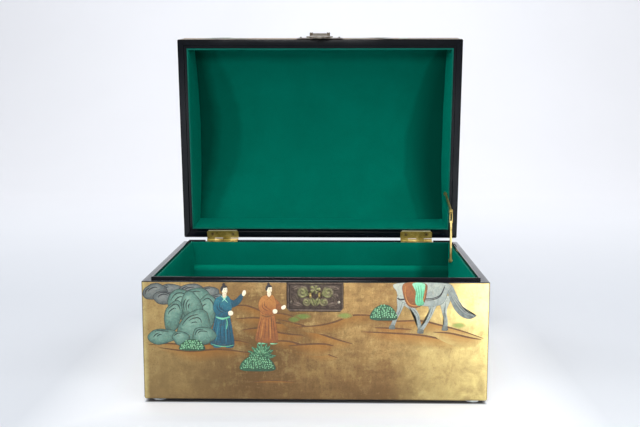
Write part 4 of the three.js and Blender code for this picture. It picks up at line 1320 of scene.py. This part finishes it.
def horse_above(canvas):
    """The horse's back, saddle, neck and head, above the rim line at d = 0."""
    canvas.fill(GREY, [(-19, 1), (-18, -6), (-8, -8), (10, -7), (24, -8.5), (30, -5), (32, 1)],
                0.35, 0.95)
    canvas.fill(GREY, [(-19, 1), (-27, -14), (-34, -28), (-31, -36), (-24, -34), (-16, -20),
                       (-6, -6), (-6, 1)])
    canvas.fill(GREY, [(-27, -37), (-35, -35), (-44, -27), (-46, -23), (-42, -21), (-34, -25),
                       (-27, -27)], 0.35, 0.95)
    for x in (-29, -26):
        canvas.fill(GREY, [(x - 1.2, -36), (x + 0.6, -42), (x + 1.8, -36)], 0.4, 0.8, 0.3)
    for k in range(7):
        canvas.stroke(GREY, [(-25 + 1.6 * k, -36 + 4 * k), (-20 + 1.7 * k, -33 + 4 * k),
                             (-19 + 1.7 * k, -27 + 4 * k)], 1.6, 0.02)
    canvas.fill(ORANGE, [(-12, 1), (-11.5, -7.5), (-6, -10.5), (-2, -8.2), (5, -9.5), (9, -7),
                         (8.5, 1)], 0.1, 0.55, 0.6)
    canvas.stroke(ORANGE, [(-10, -1), (-9.4, -6), (-5, -8.6), (5, -7.6), (7, -1)], 0.8, 0.95)
    canvas.fill(JADE, [(-4, 1), (-4, -8), (2, -9), (6, -7.6), (6.6, 1)], 0.3, 0.85, 0.5, 0.02)
    for strap in ([(-27, -36), (-32, -25)], [(-33, -35.6), (-37, -24.4)],
                  [(-37, -25), (-24, -12), (-12, -4)]):
        canvas.stroke(INK, strap, 0.9, 0.5)
    canvas.dot(INK, -35.4, -30.4, 0.9, 0.0, 0.2)


# ---- scenes on the outside faces ----
def on_front(x, lift, d):
    return to_frame(x, -HALF_D - lift, RIM_Z - d)


def painted_front():
    """Rocks and two people on the left, a horse on the right, bushes and bare ground between."""
    rng = random.Random(7)
    land = Canvas(on_front)
    contours = [
        [(-160, 62), (-142, 60.5), (-118, 62), (-96, 60), (-78, 57), (-62, 60)],
        [(-150, 64.5), (-120, 68), (-92, 66), (-60, 69.5)],
        [(-84, 24), (-66, 23), (-48, 29), (-30, 31), (-12, 36)],
        [(-76, 36), (-54, 35), (-34, 40), (-14, 38)],
        [(-70, 47), (-52, 45), (-30, 50), (-8, 52)],
        [(-44, 58), (-24, 58), (0, 66), (22, 74)],
        [(-36, 36), (-12, 42), (2, 49), (22, 56), (36, 60)],
        [(-22, 44), (4, 42), (20, 38), (33, 32.5), (50, 32), (72, 35)],
        [(-26, 62), (4, 60), (18, 62)],
        [(58, 37), (78, 37.5), (100, 37), (118, 41), (140, 47), (160, 54)],
        [(56, 44), (74, 44.5), (92, 45.5)],
        [(44, 48), (68, 49), (100, 51), (126, 56), (148, 60)],
        [(112, 48), (128, 49), (146, 53), (158, 55)],
    ]
    for line in contours:
        land.ground(line, 12, 1.8)
    land.ground([(-60, 98), (-40, 96.5), (-18, 98)], 3)
    for x, d, w in ((-12, 34, 9), (28, 33, 8), (136, 42, 7), (-20, 37, 6)):
        patch = [(x - w, d), (x - w / 2, d - 3), (x + w / 2, d - 3.4), (x + w, d), (x, d + 2.6)]
        land.wash(MOSS, patch, 0.75)
    land.done("front_ground", "box")

    stone = Canvas(on_front, ROCK_LIFT)
    far = stone.moved((-146, 23))
    for shape in ((9, -15, 12, 6), (-6, -13, 12, 8), (4, -7, 12, 7), (30, -14, 13, 7),
                  (46, -12, 9, 7), (54, -3, 8, 9), (50, 9, 8, 8)):
        lobe(far, rng, SLATE, *shape)
    big = stone.moved((-119, 60.5))
    big.lift = far.lift
    rocks(big, rng, TEAL)
    stone.lift = big.lift + 0.01
    mound(stone, rng, -117.5, 66.5, 12, 10)
    stone.done("front_rocks", "box")

    people = Canvas(on_front, LIVING_LIFT)
    figure(people.moved((-86, 3.2), 0.98), BLUE, JADE, BLUE, 0)
    figure(people.moved((-43.5, 2.6), 0.93), ORANGE, BROWN, JADE, 1)
    people.done("front_people", "box")

    plants = Canvas(on_front, PLANT_LIFT)
    leafy(plants, rng, -51, 73, 14.5, 14.5)
    mound(plants, rng, -55, 86, 16.5, 14.5, 2.0, 0.8)
    mound(plants, rng, 65, 35.5, 12.5, 13.5, 2.2, 0.85)
    plants.done("front_plants", "box")

    beast = Canvas(on_front, LIVING_LIFT)
    horse(beast.moved(HORSE_AT))
    beast.done("front_horse", "box")


def pine(canvas, rng, height):
    """A leaning pine on d = 0 with flat pads of needles."""
    trunk = [(0, 0), (2, -0.25 * height), (-3, -0.5 * height), (4, -0.8 * height)]
    canvas.stroke(BROWN, trunk, 5.5, 0.3)
    for up, reach in ((0.42, -15), (0.55, 17), (0.68, -13), (0.8, 12), (0.92, -9)):
        d = -up * height
        canvas.stroke(BROWN, [(0, d + 5), (reach * 0.5, d), (reach, d + 1)], 1.8, 0.3)
        mound(canvas, rng, reach * 0.9, d + 1.5, abs(reach) * 0.8, 6.5, 1.9)
    mound(canvas, rng, 4, -0.9 * height, 11, 8, 1.9)


def painted_lid_front():
    """The scene carries on above the rim: a pine and a far shore, and the rest of the horse."""
    rng = random.Random(11)

    def place(x, lift, d):
        return shut(x, -HALF_D - lift, LID_Z + 2.4 - d)

    land = Canvas(place)
    for line in ([(-158, -6), (-146, -13), (-134, -18), (-122, -14), (-110, -4)],
                 [(-104, -30), (-84, -34), (-62, -33), (-44, -30)],
                 [(-90, -26), (-70, -28.5), (-52, -27)],
                 [(34, -38), (52, -42), (74, -46), (96, -44), (120, -46), (148, -42)],
                 [(126, -14), (136, -22), (146, -24), (156, -18)]):
        land.ground(line, 9, 1.2)
    land.done("lid_front_ground", "lid")
    things = Canvas(place, ROCK_LIFT)
    tree = things.moved((-120, -1), 0.8)
    pine(tree, rng, 58)
    things.lift = tree.lift
    mound(things, rng, -92, -1, 10, 9, 2.0, 0.8)
    mound(things, rng, 44, -1, 9, 8, 2.0, 0.8)
    horse_above(things.moved(HORSE_AT))
    things.done("lid_front_scenery", "lid")


def hills(canvas, rng, width, height):
    """A range of rounded hills, each a contour with a stain of earth below it."""
    x, widest = -width / 2, 56
    while x < width / 2 - widest:
        reach = rng.uniform(46, 62)
        up = height * rng.uniform(0.55, 1.0)
        canvas.ground([(x, 0), (x + reach * 0.16, -up * 0.45), (x + reach * 0.36, -up * 0.9),
                       (x + reach * 0.5, -up), (x + reach * 0.66, -up * 0.82),
                       (x + reach * 0.82, -up * 0.4), (x + reach, -2)], 11)
        canvas.stroke(BROWN, [(x + reach * 0.42, -up * 0.8), (x + reach * 0.5, -up * 0.5),
                              (x + reach * 0.46, -up * 0.25)], 0.7, 0.3)
        x += reach * 0.7


def scenery(name, body, place, width, height, seed):
    """Hills, rocks, a pine and bushes across one face, with open ground below them."""
    rng = random.Random(seed)
    land = Canvas(place)
    hills(land.moved((0, height * 0.36)), rng, width * 0.94, height * 0.24)
    for k in range(8):
        x, d = rng.uniform(-0.44, 0.04) * width, height * (0.46 + 0.06 * k)
        land.ground([(x, d), (x + 26, d - 2), (x + 52, d + 1.5), (x + 80, d + 4)], 6)
    land.done(name + "_ground", body)
    things = Canvas(place, ROCK_LIFT)
    turn = rng.choice((-1, 1))
    low = height * 0.74
    size = min(1.25, height / 105)
    stones = things.moved((-turn * width * 0.27, low), size, turn)
    rocks(stones, rng, TEAL)
    far = things.moved((-turn * width * 0.4, low - 6), size * 0.7, -turn)
    far.lift = stones.lift
    rocks(far, rng, SLATE)
    tree = things.moved((turn * width * 0.22, low - 2), size)
    pine(tree, rng, 64)
    things.lift = far.lift
    for bush, across, down, rx, rd in ((mound, -0.08, 4, 13, 11), (mound, 0.36, 6, 15, 12),
                                       (leafy, 0.06, 9, 13, 11)):
        bush(things, rng, turn * width * across, low + down, rx * size, rd * size)
    things.done(name + "_scenery", body)


def painted_faces():
    """Plainer scenery on the other outside faces and over the lid."""
    margin = 1.8  # clear of the rounded corners

    def kept(x, half):
        return max(margin - half, min(half - margin, x))

    def right(x, lift, d):
        return to_frame(HALF_W + lift, kept(x, HALF_D), RIM_Z - d)

    def left(x, lift, d):
        return to_frame(-HALF_W - lift, -kept(x, HALF_D), RIM_Z - d)

    def back(x, lift, d):
        return to_frame(-kept(x, HALF_W), HALF_D + lift, RIM_Z - d)

    def dome(x, lift, d):
        """d runs over the lid from its back edge to its front one."""
        angle = (DOME_ARC / 2 - d) / DOME_RADIUS
        reach = DOME_RADIUS + lift
        return shut(kept(x, HALF_W), reach * math.sin(angle), DOME_CENTRE + reach * math.cos(angle))

    for name, place, width, seed in (("right", right, DEPTH, 21), ("left", left, DEPTH, 22),
                                     ("back", back, WIDTH, 23)):
        scenery(name, "box", place, width, RIM_Z - FLOOR_Z, seed)
    scenery("dome", "lid", dome, WIDTH, DOME_ARC, 24)


# ---- studio ----
def studio_scene():
    """A sweep of paper: flat under the box, then curving up behind it."""
    sweep = 1.6
    rail = [(-3.0, 0.0)]
    rail += [(sweep + sweep * math.sin(a), sweep - sweep * math.cos(a))
             for a in (math.radians(d) for d in range(0, 91, 5))]
    rail += [(2 * sweep, 5.0)]
    bm = bmesh.new()
    rows = [[bm.verts.new((x, y, z)) for x in (-5.0, 5.0)] for y, z in rail]
    for a, b in zip(rows, rows[1:]):
        bm.faces.new((a[0], a[1], b[1], b[0]))
    in_scene(bm, "studio_floor", [studio("studio_paper")])


def area_light(name, place, target, size, power, color=(1, 1, 1), spread=180):
    data = bpy.data.lights.new(name, "AREA")
    data.shape = "RECTANGLE"
    data.size, data.size_y = size
    data.energy = power
    data.color = color
    data.spread = math.radians(spread)
    light = bpy.data.objects.new(name, data)
    light.location = place
    light.visible_camera = False
    light.rotation_euler = (Vector(target) - Vector(place)).to_track_quat("-Z", "Y").to_euler()
    bpy.context.scene.collection.objects.link(light)


def lights():
    """Two soft boxes in front, a fill between them, one overhead, one on the backdrop, and a
    narrow one on the right of the front."""
    for settings in (
            ("side_glow", (0.50, -0.80, 0.12), (0.16, -0.155, 0.0), (0.3, 0.22), 0.3,
             (1, 0.985, 0.92), 36),
            ("right", (0.75, -1.7, 1.4), (0, 0, 0.1), (1.2, 1.2), 5, (1, 0.985, 0.96)),
            ("left", (-0.75, -1.7, 1.4), (0, 0, 0.1), (1.2, 1.2), 9, (0.97, 0.985, 1)),
            ("front", (-0.1, -1.7, 0.62), (0, 0, 0.2), (0.4, 0.25), 10),
            ("top", (0, 0.1, 2.2), (0, 0, 0), (1.8, 1.4), 15),
            ("back_wall", (0, 0.9, 2.4), (0, 3.0, 0.6), (2.6, 0.8), 44)):
        area_light(*settings)
    world = bpy.data.worlds.new("soft_white")
    world.use_nodes = True
    background = world.node_tree.nodes["Background"].inputs
    background["Color"].default_value = (0.93, 0.95, 1, 1)
    background["Strength"].default_value = 0.36
    bpy.context.scene.world = world


def camera():
    """At the photograph's height, a little right of the middle and looking slightly down."""
    data = bpy.data.cameras.new("camera")
    data.lens = 49.93
    data.sensor_width = 36
    view = bpy.data.objects.new("camera", data)
    view.location = to_frame(21.2, -940.4, FLOOR_Z + 290.3)
    left, down = math.radians(1.15), math.radians(7.55)
    turn = Matrix.Rotation(left, 4, "Z") @ Matrix.Rotation(math.radians(90) - down, 4, "X")
    view.rotation_euler = turn.to_euler()
    data.clip_start = 0.05
    bpy.context.scene.collection.objects.link(view)
    bpy.context.scene.camera = view


for build in (body_boards, body_liners, body_lining, floor_velvet, ledges, lid_walls, lid_dome,
              lid_lining_walls, lid_dome_velvet, feet, latch, screws, hardware, painted_front,
              painted_lid_front, painted_faces, studio_scene, lights, camera):
    build()
bpy.context.scene.view_settings.view_transform = "Standard"
